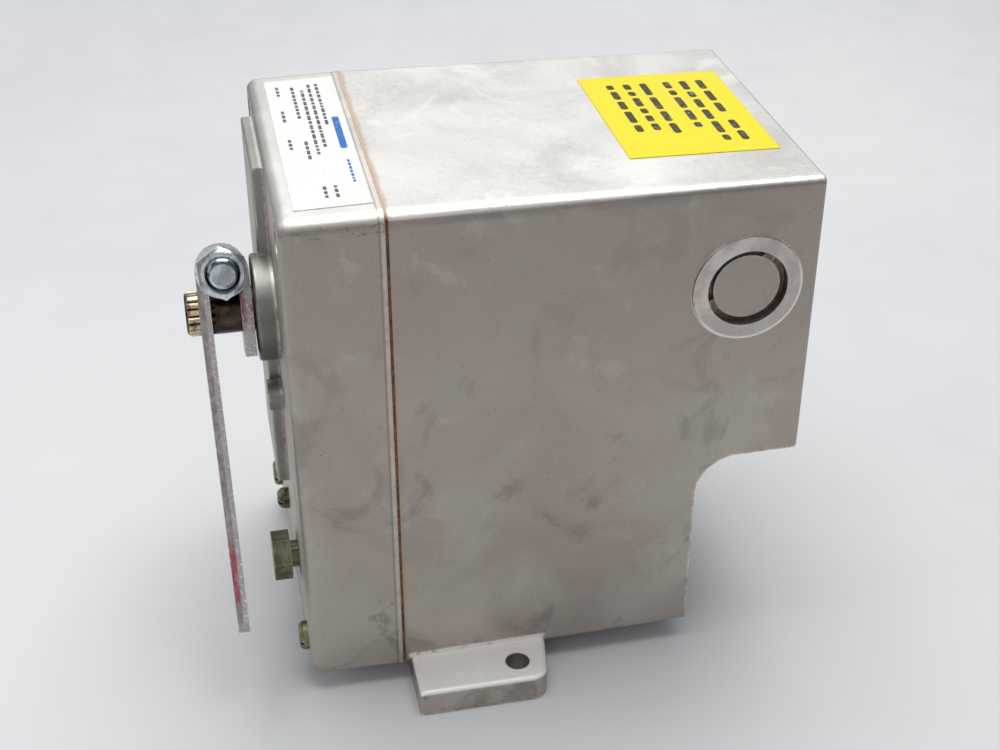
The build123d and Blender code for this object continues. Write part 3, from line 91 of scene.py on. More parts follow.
# ---------------------------------------------------------------- node helpers
class Shader:
    """A principled material, and short calls that add nodes to it."""

    def __init__(self, name, metallic=0.0, roughness=0.5, **sockets):
        self.material = bpy.data.materials.new(name)
        self.material.use_nodes = True
        self.tree = self.material.node_tree
        self.surface = self.tree.nodes["Principled BSDF"]
        self.surface.inputs["Metallic"].default_value = metallic
        self.surface.inputs["Roughness"].default_value = roughness
        for socket, value in sockets.items():
            self.surface.inputs[socket.replace("_", " ")].default_value = value
        coordinates = self.node("ShaderNodeTexCoord")
        self.place = coordinates.outputs["Object"]
        self.facing = coordinates.outputs["Normal"]
        parts = self.node("ShaderNodeSeparateXYZ", {0: self.place})
        self.x, self.y, self.z = parts.outputs
        ways = self.node("ShaderNodeSeparateXYZ", {0: self.facing})
        self.nx, self.ny, self.nz = ways.outputs

    def node(self, kind, inputs=None, **settings):
        made = self.tree.nodes.new(kind)
        for name, value in settings.items():
            setattr(made, name, value)
        for name, value in (inputs or {}).items():
            self.put(made.inputs[name], value)
        return made

    def put(self, socket, value):
        if isinstance(value, bpy.types.NodeSocket):
            self.tree.links.new(value, socket)
        else:
            socket.default_value = value

    def math(self, operation, a, b=0.0):
        return self.node("ShaderNodeMath", {0: a, 1: b}, operation=operation).outputs[0]

    def times(self, *values):
        product = values[0]
        for value in values[1:]:
            product = self.math("MULTIPLY", product, value)
        return product

    def plus(self, *values):
        total = values[0]
        for value in values[1:]:
            total = self.math("ADD", total, value)
        return total

    def fade(self, value, start, end, low=0.0, high=1.0):
        """A smooth change from low at start to high at end; start may be the larger."""
        inputs = {"Value": value, "From Min": start, "From Max": end, "To Min": low, "To Max": high}
        return self.node("ShaderNodeMapRange", inputs, interpolation_type="SMOOTHSTEP").outputs[0]

    def noise(self, scale, detail=3.0, roughness=0.5, distortion=0.0, place=None):
        inputs = {
            "Vector": place or self.place,
            "Scale": scale,
            "Detail": detail,
            "Roughness": roughness,
            "Distortion": distortion,
        }
        return self.node("ShaderNodeTexNoise", inputs).outputs["Fac"]

    def cells(self, scale, place=None):
        """Distance to the nearest of many scattered points."""
        inputs = {"Vector": place or self.place, "Scale": scale}
        return self.node("ShaderNodeTexVoronoi", inputs).outputs["Distance"]

    def bands(self, scale, direction, distortion=0.0, place=None):
        """Parallel waves across one axis."""
        inputs = {"Vector": place or self.place, "Scale": scale, "Distortion": distortion}
        return self.node("ShaderNodeTexWave", inputs, bands_direction=direction).outputs["Fac"]

    def mapped(self, scale=(1, 1, 1), turn=(0, 0, 0), shift=(0, 0, 0)):
        """Object coordinates that are shifted, turned and stretched."""
        inputs = {"Vector": self.place, "Location": shift, "Rotation": turn, "Scale": scale}
        return self.node("ShaderNodeMapping", inputs).outputs[0]

    def mix(self, factor, a, b):
        """The colour a where the factor is 0, b where it is 1."""
        made = self.node("ShaderNodeMix", data_type="RGBA")
        self.put(made.inputs[0], factor)
        for socket, value in ((made.inputs[6], a), (made.inputs[7], b)):
            self.put(socket, value if isinstance(value, bpy.types.NodeSocket) else (*value, 1.0))
        return made.outputs[2]

    def distance_in_plane(self, u, v, centre):
        """Distance from an axis, given the two coordinates across it."""
        du = self.math("SUBTRACT", u, centre[0])
        dv = self.math("SUBTRACT", v, centre[1])
        return self.math("SQRT", self.plus(self.times(du, du), self.times(dv, dv)))

    def edge_mask(self, radius):
        """1 along sharp and tightly rounded edges, 0 on flats."""
        soft = self.node("ShaderNodeBevel", {"Radius": radius}, samples=6).outputs[0]
        true = self.node("ShaderNodeNewGeometry").outputs["Normal"]
        both = self.node("ShaderNodeVectorMath", {0: soft, 1: true}, operation="DOT_PRODUCT")
        return self.fade(self.math("SUBTRACT", 1.0, both.outputs["Value"]), 0.02, 0.14)

    def scratches(self, scale, turn):
        """Fine straight scratches along one direction, in patches."""
        stretched = self.mapped(scale=(1.0, 0.035, 0.035), turn=turn)
        fine = self.noise(scale, 2.0, 0.6, 0.0, stretched)
        patchy = self.noise(scale / 90, 2.0)
        return self.times(self.fade(fine, 0.72, 0.80), self.fade(patchy, 0.45, 0.65))

    def bump(self, height, strength, distance):
        """A normal from a height that is given in units of the distance."""
        made = self.node("ShaderNodeBump", {"Height": height, "Strength": strength, "Distance": distance})
        return made.outputs[0]

    def finish(self, color, roughness, normal=None, metallic=None):
        """Connect what the surface needs and give the material."""
        for name, value in (
            ("Base Color", color),
            ("Roughness", roughness),
            ("Normal", normal),
            ("Metallic", metallic),
        ):
            if value is not None:
                self.put(self.surface.inputs[name], value)
        return self.material


# ---------------------------------------------------------------- materials of the case
CAST_METALLIC = 0.92
FOOT_METALLIC_DROP = 0.55  # the foot's upper face is painted paler, as lit from above, and is less of a mirror


def wall_color(s, clouds, stain):
    """Brownish grey metal: dark stains, mostly low on the walls, and a few rubbed patches."""
    low_walls = s.fade(s.z, CASE_TOP - 20 * MM, CASE_BOTTOM + 25 * MM, 0.25, 1.0)
    high_walls = s.fade(s.z, CASE_BOTTOM + 50 * MM, CASE_TOP - 15 * MM)
    rubbed = s.fade(s.noise(75, 5, 0.6, 0.4, s.mapped(shift=(3, 1, 2))), 0.58, 0.70)
    color = s.mix(s.fade(clouds, 0.35, 0.68), (0.385, 0.335, 0.298), (0.520, 0.468, 0.420))
    color = s.mix(s.times(stain, low_walls, 0.6), color, (0.250, 0.215, 0.188))
    color = s.mix(s.times(high_walls, 0.6), color, (0.355, 0.305, 0.270))
    return s.mix(s.times(rubbed, 0.25), color, (0.62, 0.575, 0.53))


def lit_top_color(s, color):
    """The top faces are painted much paler than the walls, as painted light from above, with some greyer stains.
    """
    top = s.fade(s.nz, 0.35, 0.85)
    stain = s.fade(s.noise(60, 5, 0.65, 0.5, s.mapped(shift=(7, 2, 5))), 0.58, 0.72)
    # painted light: upward faces made pale as if lit from above
    color = s.mix(s.times(top, 0.85), color, (0.86, 0.86, 0.84))
    return s.mix(s.times(top, stain, 0.28), color, (0.62, 0.60, 0.56))


def boss_color(s, color):
    """The boss and the pad are cleaner, greyer metal, with the crank arm's shadow painted down the lower part of
    the boss.
    """
    boss = s.fade(s.y, CASE_FRONT - 0.4 * MM, CASE_FRONT - 1.2 * MM)
    ragged_z = s.plus(s.z, s.times(s.noise(150, 4), 1.6 * MM))
    from_shaft = s.distance_in_plane(s.x, s.z, (SHAFT.x, SHAFT.z))
    # painted shadow that the crank arm casts on the lower part of the boss
    arm_shadow = s.times(
        s.fade(from_shaft, BOSS_RADIUS + 2.5 * MM, BOSS_RADIUS + 1.0 * MM),
        s.fade(ragged_z, SHAFT.z + 11.5 * MM, SHAFT.z + 9 * MM),
        s.fade(s.z, SHAFT.z + 8 * MM, SHAFT.z - 4 * MM, 0.55, 0.9),
        boss,
    )
    color = s.mix(s.times(boss, 0.85), color, (0.37, 0.38, 0.34))
    return s.mix(arm_shadow, color, (0.175, 0.165, 0.145))


def foot_color(s, color):
    """Painted light on each foot: its upper face painted pale as if lit from above, and a painted highlight along
    the fillet where it meets the wall. Gives the face too.
    """
    outside = s.fade(s.math("ABSOLUTE", s.x), CASE_HALF - 1.6 * MM, CASE_HALF - 0.6 * MM)
    below = s.fade(s.z, FOOT_TOP + 0.7 * MM, FOOT_TOP + 0.1 * MM)
    foot = s.times(below, outside, s.fade(s.nz, 0.15, 0.7))
    # painted highlight along the fillet between the foot and the wall
    fillet_highlight = s.times(
        s.fade(s.z, FOOT_TOP + 1.9 * MM, FOOT_TOP + 1.3 * MM),
        s.fade(s.z, FOOT_TOP - 0.5 * MM, FOOT_TOP - 0.1 * MM),
        s.fade(s.y, SEAM_Y + 0.8 * MM, SEAM_Y + 1.6 * MM),
        s.fade(s.y, FOOT_REAR + 0.5 * MM, FOOT_REAR - 0.5 * MM),
        s.fade(s.noise(240, 4), 0.30, 0.46, 0.35, 1.0),
    )
    # painted light: the foot's upper face made pale as if lit from above
    color = s.mix(s.times(foot, 0.95), color, (0.97, 0.99, 0.94))
    return s.mix(s.times(fillet_highlight, 0.85), color, (0.92, 0.90, 0.87)), foot


def knockout_color(s, color):
    """Bright turned ring, with a painted highlight along the lower front of its rim and painted shade in the
    groove. Gives the radius and two masks too.
    """
    turned = s.distance_in_plane(s.y, s.z, (KNOCKOUT.y, KNOCKOUT.z))
    on_ring = s.times(
        s.fade(turned, RING_OUTER + 0.65 * MM, RING_OUTER + 0.25 * MM),
        s.fade(turned, RING_INNER - 0.3 * MM, RING_INNER + 0.1 * MM),
        s.fade(s.math("ABSOLUTE", s.nx), 0.6, 0.9),
    )
    rings = s.bands(700, "X", 0.0, s.node("ShaderNodeCombineXYZ", {0: turned}).outputs[0])
    tool_marks = s.times(on_ring, s.fade(s.noise(110, 4, 0.6), 0.40, 0.62))
    lower_front = s.plus(s.z, s.times(s.math("SUBTRACT", KNOCKOUT.y, s.y), 0.5))
    # painted highlight along the lower front of the ring's rim
    rim = s.times(
        s.fade(turned, RING_OUTER - 0.85 * MM, RING_OUTER - 0.25 * MM),
        s.fade(turned, RING_OUTER + 0.65 * MM, RING_OUTER + 0.15 * MM),
        s.fade(lower_front, KNOCKOUT.z + 2 * MM, KNOCKOUT.z - 7 * MM),
    )
    # painted shade down in the groove round the disc
    groove_shade = s.times(
        s.fade(turned, RING_INNER + 0.2 * MM, RING_INNER - 0.1 * MM),
        s.fade(turned, DISC_RADIUS - 0.1 * MM, DISC_RADIUS + 0.2 * MM),
    )
    color = s.mix(s.times(on_ring, 0.55), color, (0.56, 0.51, 0.47))
    color = s.mix(s.times(tool_marks, s.plus(0.25, s.times(rings, 0.45))), color, (0.80, 0.76, 0.71))
    color = s.mix(s.times(rim, 0.75), color, (0.90, 0.87, 0.82))
    return s.mix(s.times(groove_shade, 0.8), color, (0.13, 0.090, 0.062)), turned, on_ring, rings


def seam_color(s, color, from_seam):
    """Orange stain that creeps out of the gasket, and the bright lip of the front casting."""
    creep = s.plus(from_seam, s.times(s.noise(180, 4), -1.7 * MM))
    rust = s.times(s.fade(creep, 0.9 * MM, -0.6 * MM), s.fade(from_seam, -0.6 * MM, 0.3 * MM))
    shadow = s.times(s.fade(from_seam, -2.4 * MM, -1.9 * MM), s.fade(from_seam, -1.4 * MM, -1.8 * MM))
    lip = s.times(
        s.fade(from_seam, -1.8 * MM, -1.3 * MM),
        s.fade(from_seam, 0.2 * MM, -0.3 * MM),
        s.fade(s.noise(330, 5, 0.7), 0.30, 0.62, 0.25, 1.0),
    )
    color = s.mix(s.times(rust, 0.5), color, (0.50, 0.33, 0.20))
    color = s.mix(s.times(shadow, 0.5), color, (0.20, 0.165, 0.145))
    return s.mix(s.times(lip, 0.6), color, (0.70, 0.635, 0.575))


def ragged_flakes(s):
    """Chipped skin along the upper edge of the front casting."""
    place = s.times(
        s.fade(s.z, CASE_TOP - 5.4 * MM, CASE_TOP - 4.6 * MM),
        s.fade(s.z, CASE_TOP - 1.6 * MM, CASE_TOP - 3.0 * MM),
        s.fade(s.math("ABSOLUTE", s.x), CASE_HALF - 3.0 * MM, CASE_HALF - 1.2 * MM),
        s.fade(s.y, SEAM_Y, SEAM_Y - 1.0 * MM),
    )
    flakes = s.noise(230, 5, 0.75, 1.2, s.mapped(scale=(1, 0.8, 2.6)))
    return s.times(place, s.fade(flakes, 0.53, 0.57))


def cast_aluminium():
    """Die-cast aluminium, stained by oil and handling, with worn edges."""
    s = Shader("cast_aluminium")
    clouds = s.noise(22, 4, 0.55, 0.6)
    stain = s.fade(s.noise(46, 6, 0.62, 0.9), 0.54, 0.66)
    grain = s.noise(1500, 3, 0.6)
    pits = s.fade(s.cells(260), 0.055, 0.030)
    color = lit_top_color(s, wall_color(s, clouds, stain))
    color = s.mix(s.fade(grain, 0.30, 0.75, 0.0, 0.16), color, (0.66, 0.62, 0.58))
    color = s.mix(s.times(pits, 0.8), color, (0.07, 0.06, 0.05))
    color, foot = foot_color(s, boss_color(s, color))
    color, turned, on_ring, rings = knockout_color(s, color)
    from_seam = s.math("SUBTRACT", s.y, SEAM_Y)
    color = seam_color(s, color, from_seam)
    # worn edges, but less round the knockout and not at the seam
    off_seam = s.fade(s.math("ABSOLUTE", from_seam), 1.2 * MM, 2.4 * MM)
    off_ring = s.fade(turned, RING_OUTER + 1.25 * MM, RING_OUTER + 2.75 * MM, 0.3, 1.0)
    edge = s.times(s.edge_mask(1.6 * MM), off_seam, off_ring)
    chipped = s.fade(s.noise(420, 4, 0.7), 0.42, 0.60)
    color = s.mix(s.times(edge, chipped, 0.8), color, (0.90, 0.875, 0.84))
    flakes = ragged_flakes(s)
    color = s.mix(s.times(flakes, 0.85), color, (0.26, 0.22, 0.17))
    roughness = s.fade(s.plus(clouds, s.times(grain, 0.5)), 0.5, 1.1, 0.40, 0.60)
    roughness = s.plus(roughness, s.times(stain, 0.08), s.times(edge, -0.12), s.times(on_ring, -0.10))
    height = s.plus(
        s.times(grain, 0.25),
        s.times(s.noise(420, 4, 0.6), 0.55),
        s.times(pits, -0.8),
        s.times(flakes, -1.5),
        s.times(on_ring, rings, 0.25),
        s.times(clouds, 0.8),
    )
    metallic = s.math("SUBTRACT", CAST_METALLIC, s.times(foot, FOOT_METALLIC_DROP))
    return s.finish(color, roughness, s.bump(height, 0.35, 0.25 * MM), metallic)


def gasket_cork():
    """Compressed fibre sheet that has soaked up oil, with painted light on its upward faces."""
    s = Shader("gasket_cork", roughness=0.85)
    fibres = s.noise(900, 4, 0.7)
    soak = s.noise(90, 4, 0.6)
    color = s.mix(s.fade(fibres, 0.35, 0.65), (0.105, 0.042, 0.018), (0.250, 0.120, 0.052))
    color = s.mix(s.fade(soak, 0.46, 0.62, 0.0, 0.8), color, (0.045, 0.022, 0.013))
    # painted light: upward faces made much paler as if lit from above
    color = s.mix(s.fade(s.nz, 0.5, 0.9, 0.0, 0.8), color, (0.66, 0.50, 0.37))
    return s.finish(color, s.fade(soak, 0.3, 0.7, 0.9, 0.6), s.bump(fibres, 0.6, 0.2 * MM))


# ---------------------------------------------------------------- general metals
def plain_metal(name, pale, dark, roughness, cloud=60, stretch=(1, 1, 1)):
    """A bare or plated metal: cloudy colour, fine grain, scratches and worn edges."""
    s = Shader(name, metallic=1.0)
    clouds = s.noise(cloud, 4, 0.6, 0.4)
    fine = s.noise(1800, 3, 0.6, 0.0, s.mapped(scale=stretch))
    color = s.mix(s.fade(clouds, 0.34, 0.68), dark, pale)
    color = s.mix(s.fade(fine, 0.35, 0.75, 0.0, 0.25), color, [1.25 * value for value in pale])
    scratch = s.scratches(900, (0.4, 0.9, 0.2))
    color = s.mix(s.times(scratch, 0.5), color, [min(1.0, 1.6 * value) for value in pale])
    edge = s.times(s.edge_mask(0.5 * MM), s.fade(s.noise(500, 3), 0.35, 0.6), 0.5)
    color = s.mix(edge, color, [min(1.0, 1.5 * value) for value in pale])
    level = s.plus(
        s.fade(clouds, 0.3, 0.7, roughness - 0.07, roughness + 0.09),
        s.times(fine, 0.08),
        s.times(scratch, -0.1),
    )
    height = s.plus(fine, s.times(clouds, 0.4), s.times(scratch, -0.6))
    return s.finish(color, level, s.bump(height, 0.25, 0.06 * MM))


def bright_zinc():
    """Blue-white zinc plating on the clamp hardware."""
    s = Shader("zinc_steel", metallic=1.0)
    clouds = s.noise(240, 4, 0.65, 0.5)
    color = s.mix(s.fade(clouds, 0.36, 0.66), (0.46, 0.52, 0.54), (0.74, 0.80, 0.82))
    dull = s.fade(s.noise(620, 5, 0.7), 0.54, 0.66)
    color = s.mix(s.times(dull, 0.30), color, (0.24, 0.27, 0.28))
    edge = s.edge_mask(0.6 * MM)
    color = s.mix(s.times(edge, 0.6), color, (0.90, 0.93, 0.94))
    # painted shade on the thread turns round the bolt's end, where the nut's countersink shades them
    across = s.plus(
        s.times(s.math("SUBTRACT", s.x, CLAMP_AXIS.x), -math.sin(ARM_TILT)),
        s.times(s.math("SUBTRACT", s.z, CLAMP_AXIS.z), math.cos(ARM_TILT)),
    )
    around = s.distance_in_plane(across, s.y, (0.0, CLAMP_AXIS.y))
    thread_shade = s.times(
        s.fade(around, THREAD_INNER - 0.25 * MM, THREAD_INNER),
        s.fade(around, THREAD_OUTER + 0.35 * MM, THREAD_OUTER),
    )
    color = s.mix(s.times(thread_shade, 0.85), color, (0.060, 0.070, 0.085))
    grain = s.noise(2600, 3, 0.6)
    level = s.plus(s.fade(clouds, 0.3, 0.7, 0.10, 0.22), s.times(dull, 0.14))
    return s.finish(color, level, s.bump(s.plus(grain, s.times(clouds, 0.8)), 0.3, 0.05 * MM))


def olive_zinc():
    """Olive chromate on zinc, rubbed through at the corners."""
    s = Shader("olive_zinc", metallic=0.85)
    clouds = s.noise(190, 4, 0.6, 0.5)
    color = s.mix(s.fade(clouds, 0.35, 0.65), (0.135, 0.125, 0.070), (0.300, 0.290, 0.190))
    brown = s.fade(s.noise(420, 4, 0.6, 0.0, s.mapped(shift=(2, 5, 1))), 0.55, 0.68)
    color = s.mix(s.times(brown, 0.5), color, (0.16, 0.10, 0.055))
    edge = s.times(s.edge_mask(0.5 * MM), s.fade(s.noise(800, 3), 0.35, 0.55))
    color = s.mix(s.times(edge, 0.7), color, (0.62, 0.63, 0.52))
    grain = s.noise(2400, 3)
    level = s.fade(clouds, 0.3, 0.7, 0.28, 0.46)
    return s.finish(color, level, s.bump(grain, 0.3, 0.05 * MM))


def strap_steel():
    """Zinc plated strap with brown sheared edges and traces of red marking paint."""
    s = Shader("strap_steel", metallic=1.0)
    along = s.mapped(scale=(1.0, 1.0, 0.05), turn=(0, ARM_TILT, 0))
    rolled = s.noise(1600, 3, 0.6, 0.0, along)
    clouds = s.noise(85, 4, 0.6, 0.6)
    color = s.mix(s.fade(clouds, 0.34, 0.68), (0.36, 0.36, 0.355), (0.60, 0.61, 0.60))
    color = s.mix(s.fade(rolled, 0.4, 0.7, 0.0, 0.25), color, (0.74, 0.75, 0.74))
    # the sheared side faces are brown and torn
    across = s.plus(s.times(s.nx, math.cos(ARM_TILT)), s.times(s.nz, math.sin(ARM_TILT)))
    side = s.fade(s.math("ABSOLUTE", across), 0.75, 0.95)
    down = s.plus(
        s.times(s.math("SUBTRACT", s.x, SHAFT.x), math.sin(ARM_TILT)),
        s.times(s.math("SUBTRACT", SHAFT.z, s.z), math.cos(ARM_TILT)),
    )
    torn = s.noise(700, 5, 0.7, 0.0, s.mapped(scale=(1, 1, 0.35)))
    sheared = s.mix(s.fade(torn, 0.35, 0.7), (0.330, 0.270, 0.262), (0.560, 0.500, 0.495))
    color = s.mix(s.times(side, 0.9), color, sheared)
    # half of the sheared face is burnished, the other half torn and speckled bright
    lean = s.fade(down, 0.0, ARM_REACH, arm_low.y, ARM_TIP.y - 1.6 * MM)
    depth = s.math("SUBTRACT", s.y, lean)
    torn_half = s.times(side, s.fade(depth, 1.5 * MM, 1.9 * MM))
    color = s.mix(s.times(torn_half, 0.6), color, (0.66, 0.64, 0.63))
    specks = s.times(torn_half, s.fade(s.noise(1300, 3, 0.7), 0.56, 0.66))
    color = s.mix(specks, color, (0.97, 0.96, 0.94))
    # red paint, low on the long leg and on the short leg
    low_leg = s.times(
        s.fade(down, ARM_REACH - 21 * MM, ARM_REACH - 15 * MM),
        s.fade(down, ARM_REACH + 1 * MM, ARM_REACH - 3 * MM),
        s.fade(s.y, ARM_TIP.y + 0.4 * MM, ARM_TIP.y - 0.4 * MM),
    )
    short_leg = s.times(
        s.fade(s.y, arm_high.y - 4.2 * MM, arm_high.y - 3.6 * MM),
        s.fade(down, -9 * MM, -6 * MM),
        s.fade(down, 7 * MM, 3 * MM),
    )
    smear = s.fade(s.noise(240, 5, 0.7, 0.8, s.mapped(scale=(1, 1, 0.4))), 0.44, 0.56)
    paint = s.times(s.math("MAXIMUM", low_leg, short_leg), smear, side)
    color = s.mix(s.times(paint, 0.85), color, (0.42, 0.035, 0.085))
    edge = s.times(s.edge_mask(0.4 * MM), s.fade(s.noise(900, 3), 0.4, 0.6))
    color = s.mix(s.times(edge, 0.7), color, (0.86, 0.86, 0.85))
    level = s.plus(s.fade(clouds, 0.3, 0.7, 0.26, 0.42), s.times(side, 0.16), s.times(paint, 0.1))
    height = s.plus(s.times(rolled, 0.3), s.times(side, torn, 1.6), s.times(specks, 0.8))
    metal = s.math("SUBTRACT", 1.0, s.times(paint, 0.8))
    return s.finish(color, level, s.bump(height, 0.5, 0.12 * MM), metal)


def oiled_steel():
    """Dark, oily shaft whose serrations are rubbed bright and brassy at the free end."""
    s = Shader("oiled_steel", metallic=1.0)
    film = s.noise(160, 4, 0.6, 0.8)
    color = s.mix(s.fade(film, 0.35, 0.65), (0.040, 0.027, 0.020), (0.105, 0.072, 0.052))
    radius = s.distance_in_plane(s.x, s.z, (SHAFT.x, SHAFT.z))
    crest = s.times(
        s.fade(radius, SPLINE_ROOT, SPLINE_CREST),
        s.fade(s.y, arm_low.y + 1.0 * MM, arm_low.y - 0.3 * MM),
    )
    rubbed = s.fade(s.noise(300, 3, 0.6), 0.30, 0.52)
    color = s.mix(s.times(crest, rubbed, 0.92), color, (0.74, 0.60, 0.40))
    inside = s.fade(s.y, SHAFT_OIL_END, SHAFT_CLEAN_START)
    color = s.mix(s.times(inside, 0.85), color, (0.48, 0.47, 0.45))
    edge = s.edge_mask(0.4 * MM)
    color = s.mix(s.times(edge, crest, 0.7), color, (0.88, 0.80, 0.66))
    lathe = s.bands(1100, "Y", 1.2)
    level = s.fade(film, 0.3, 0.7, 0.20, 0.38)
    return s.finish(color, level, s.bump(s.plus(s.times(lathe, 0.3), film), 0.25, 0.06 * MM))


def gear_steel():
    """Hobbed steel with a film of grease and bright flanks."""
    s = Shader("gear_steel", metallic=1.0)
    cuts = s.bands(1500, "Y", 0.6)
    grease = s.fade(s.noise(130, 4, 0.6, 0.8), 0.50, 0.64)
    color = s.mix(s.fade(s.noise(400, 4), 0.3, 0.7), (0.40, 0.40, 0.39), (0.58, 0.58, 0.57))
    color = s.mix(s.times(grease, 0.6), color, (0.16, 0.115, 0.060))
    edge = s.edge_mask(0.3 * MM)
    color = s.mix(s.times(edge, 0.5), color, (0.80, 0.80, 0.79))
    level = s.fade(grease, 0.0, 1.0, 0.34, 0.16)
    return s.finish(color, level, s.bump(cuts, 0.2, 0.05 * MM))


def sintered_bronze():
    """Oil-filled sintered bronze with open pores."""
    s = Shader("bearing_bronze", metallic=1.0)
    pores = s.fade(s.cells(1900), 0.28, 0.12)
    color = s.mix(s.fade(s.noise(300, 4), 0.35, 0.65), (0.36, 0.21, 0.085), (0.58, 0.38, 0.18))
    color = s.mix(s.times(pores, 0.7), color, (0.09, 0.05, 0.025))
    return s.finish(color, s.fade(pores, 0, 1, 0.36, 0.7), s.bump(pores, -0.4, 0.06 * MM))


def stator_laminations():
    """A stack of punched sheets under dark varnish."""
    s = Shader("lamination_steel", metallic=0.7)
    sheets = s.bands(1000, "Y", 0.15)
    varnish = s.noise(140, 4, 0.6, 0.6)
    side = s.fade(s.math("ABSOLUTE", s.ny), 0.7, 0.4)
    color = s.mix(s.fade(varnish, 0.35, 0.65), (0.075, 0.080, 0.090), (0.150, 0.155, 0.170))
    color = s.mix(s.times(side, s.fade(sheets, 0.6, 0.9), 0.6), color, (0.30, 0.30, 0.31))
    level = s.fade(varnish, 0.3, 0.7, 0.30, 0.48)
    return s.finish(color, level, s.bump(s.times(side, sheets), 0.7, 0.15 * MM))


def wound_wire():
    """Enamelled wire in even layers, with dark varnish between the turns."""
    s = Shader("coil_wire", roughness=0.3, metallic=0.35)
    turns = s.bands(650, "X", 0.2)
    color = s.mix(s.fade(turns, 0.15, 0.75), (0.090, 0.020, 0.006), (0.58, 0.20, 0.065))
    color = s.mix(s.fade(s.noise(120, 4), 0.5, 0.7, 0.0, 0.4), color, (0.26, 0.080, 0.025))
    return s.finish(color, s.fade(turns, 0.2, 0.8, 0.5, 0.24), s.bump(turns, 0.9, 0.3 * MM))


# ---------------------------------------------------------------- plastics, rubber and labels
def moulded(name, color, shade, roughness):
    """Moulded plastic or rubber: fine spark grain, faint flow marks and a little dust on top."""
    s = Shader(name)
    flow = s.noise(70, 3, 0.5, 1.0)
    fine = s.noise(1400, 3, 0.6)
    tone = s.mix(s.fade(flow, 0.35, 0.65), color, shade)
    settled = s.times(s.fade(s.nz, 0.5, 0.95), s.fade(s.noise(300, 5, 0.7), 0.45, 0.65), 0.12)
    tone = s.mix(settled, tone, (0.45, 0.43, 0.40))
    level = s.plus(s.fade(flow, 0.3, 0.7, roughness - 0.05, roughness + 0.07), s.times(settled, 0.8))
    return s.finish(tone, level, s.bump(s.plus(fine, s.times(flow, 0.3)), 0.3, 0.06 * MM))


def label_film(name, color, faded, soil):
    """Printed film: satin coat, slight fading, soiled rim and faint ripples from what it sticks to."""
    s = Shader(name, roughness=0.42, Coat_Weight=0.25, Coat_Roughness=0.25)
    fade = s.noise(55, 4, 0.55, 0.4)
    tone = s.mix(s.fade(fade, 0.40, 0.70, 0.0, 0.8), color, faded)
    dirt = s.fade(s.noise(420, 5, 0.72), 0.60, 0.72)
    tone = s.mix(s.times(dirt, 0.22), tone, soil)
    rim = s.edge_mask(0.6 * MM)
    tone = s.mix(s.times(rim, s.fade(s.noise(500, 3), 0.35, 0.6), 0.45), tone, soil)
    ripples = s.noise(260, 4, 0.6)
    level = s.fade(fade, 0.3, 0.7, 0.34, 0.52)
    return s.finish(tone, level, s.bump(ripples, 0.18, 0.1 * MM))


def printed_ink(name, color):
    """Ink with slight gaps where it has worn."""
    s = Shader(name, roughness=0.5)
    worn = s.fade(s.noise(900, 4, 0.7), 0.52, 0.70)
    pale = [min(1.0, 0.35 + value) for value in color]
    return s.finish(s.mix(s.times(worn, 0.55), color, pale), s.fade(worn, 0, 1, 0.4, 0.6))


MATERIALS = {
    "cast_aluminium": cast_aluminium(),
    "gasket_cork": gasket_cork(),
    "white_label": label_film(
        "white_label", color=(0.86, 0.87, 0.85), faded=(0.78, 0.79, 0.76), soil=(0.42, 0.38, 0.32)
    ),
    "yellow_label": label_film(
        "yellow_label", color=(0.86, 0.75, 0.012), faded=(0.80, 0.70, 0.03), soil=(0.36, 0.28, 0.08)
    ),
    "bearing_bronze": sintered_bronze(),
    "seal_rubber": moulded("seal_rubber", (0.018, 0.017, 0.016), (0.034, 0.032, 0.030), 0.55),
    "ground_steel": plain_metal(
        "ground_steel", (0.58, 0.58, 0.57), (0.44, 0.44, 0.44), 0.24, stretch=(1, 0.1, 1)
    ),
    "oiled_steel": oiled_steel(),
    "plated_sheet": plain_metal(
        "plated_sheet", (0.62, 0.63, 0.60), (0.46, 0.47, 0.44), 0.34, cloud=140
    ),
    "zinc_steel": bright_zinc(),
    "olive_zinc": olive_zinc(),
    "lamination_steel": stator_laminations(),
    "bobbin_nylon": moulded("bobbin_nylon", (0.70, 0.66, 0.54), (0.78, 0.75, 0.66), 0.38),
    "coil_wire": wound_wire(),
    "bracket_aluminium": plain_metal(
        "bracket_aluminium", (0.60, 0.60, 0.59), (0.42, 0.42, 0.41), 0.42, cloud=90
    ),
    "switch_plastic": moulded("switch_plastic", (0.020, 0.020, 0.022), (0.036, 0.036, 0.038), 0.45),
    "capacitor_can": plain_metal(
        "capacitor_can", (0.70, 0.71, 0.72), (0.58, 0.59, 0.60), 0.28, stretch=(0.05, 1, 1)
    ),
    "strap_steel": strap_steel(),
    "gear_steel": gear_steel(),
}
SLOT_OF = {entry["node"]: entry["material_slot"] for entry in RECORD["subparts"]}
for node_name, node in NODES.items():
    for holder in node.material_slots:
        holder.material = MATERIALS[SLOT_OF[node_name]]


# ---------------------------------------------------------------- printing on the labels
def label_frame(node_name):
    """Centre and slope of a label's printed face, which leans with the case's top."""
    low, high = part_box(node_name)
    top = {}
    for vertex in NODES[node_name].data.vertices:
        side = round(vertex.co.y, 3)
        top[side] = max(top.get(side, low.z), vertex.co.z)
    first, last = min(top), max(top)
    slope = (top[last] - top[first]) / (last - first)
    centre = Vector(((low.x + high.x) / 2, (first + last) / 2, (top[first] + top[last]) / 2))
    return centre, slope


INK_LIFT = 0.02 * MM
INK_THICKNESS = 0.03 * MM
BAR_CLIP = 0.25  # of the bar's smaller side
BAR_SPACE = 0.8  # between bars, in bar heights


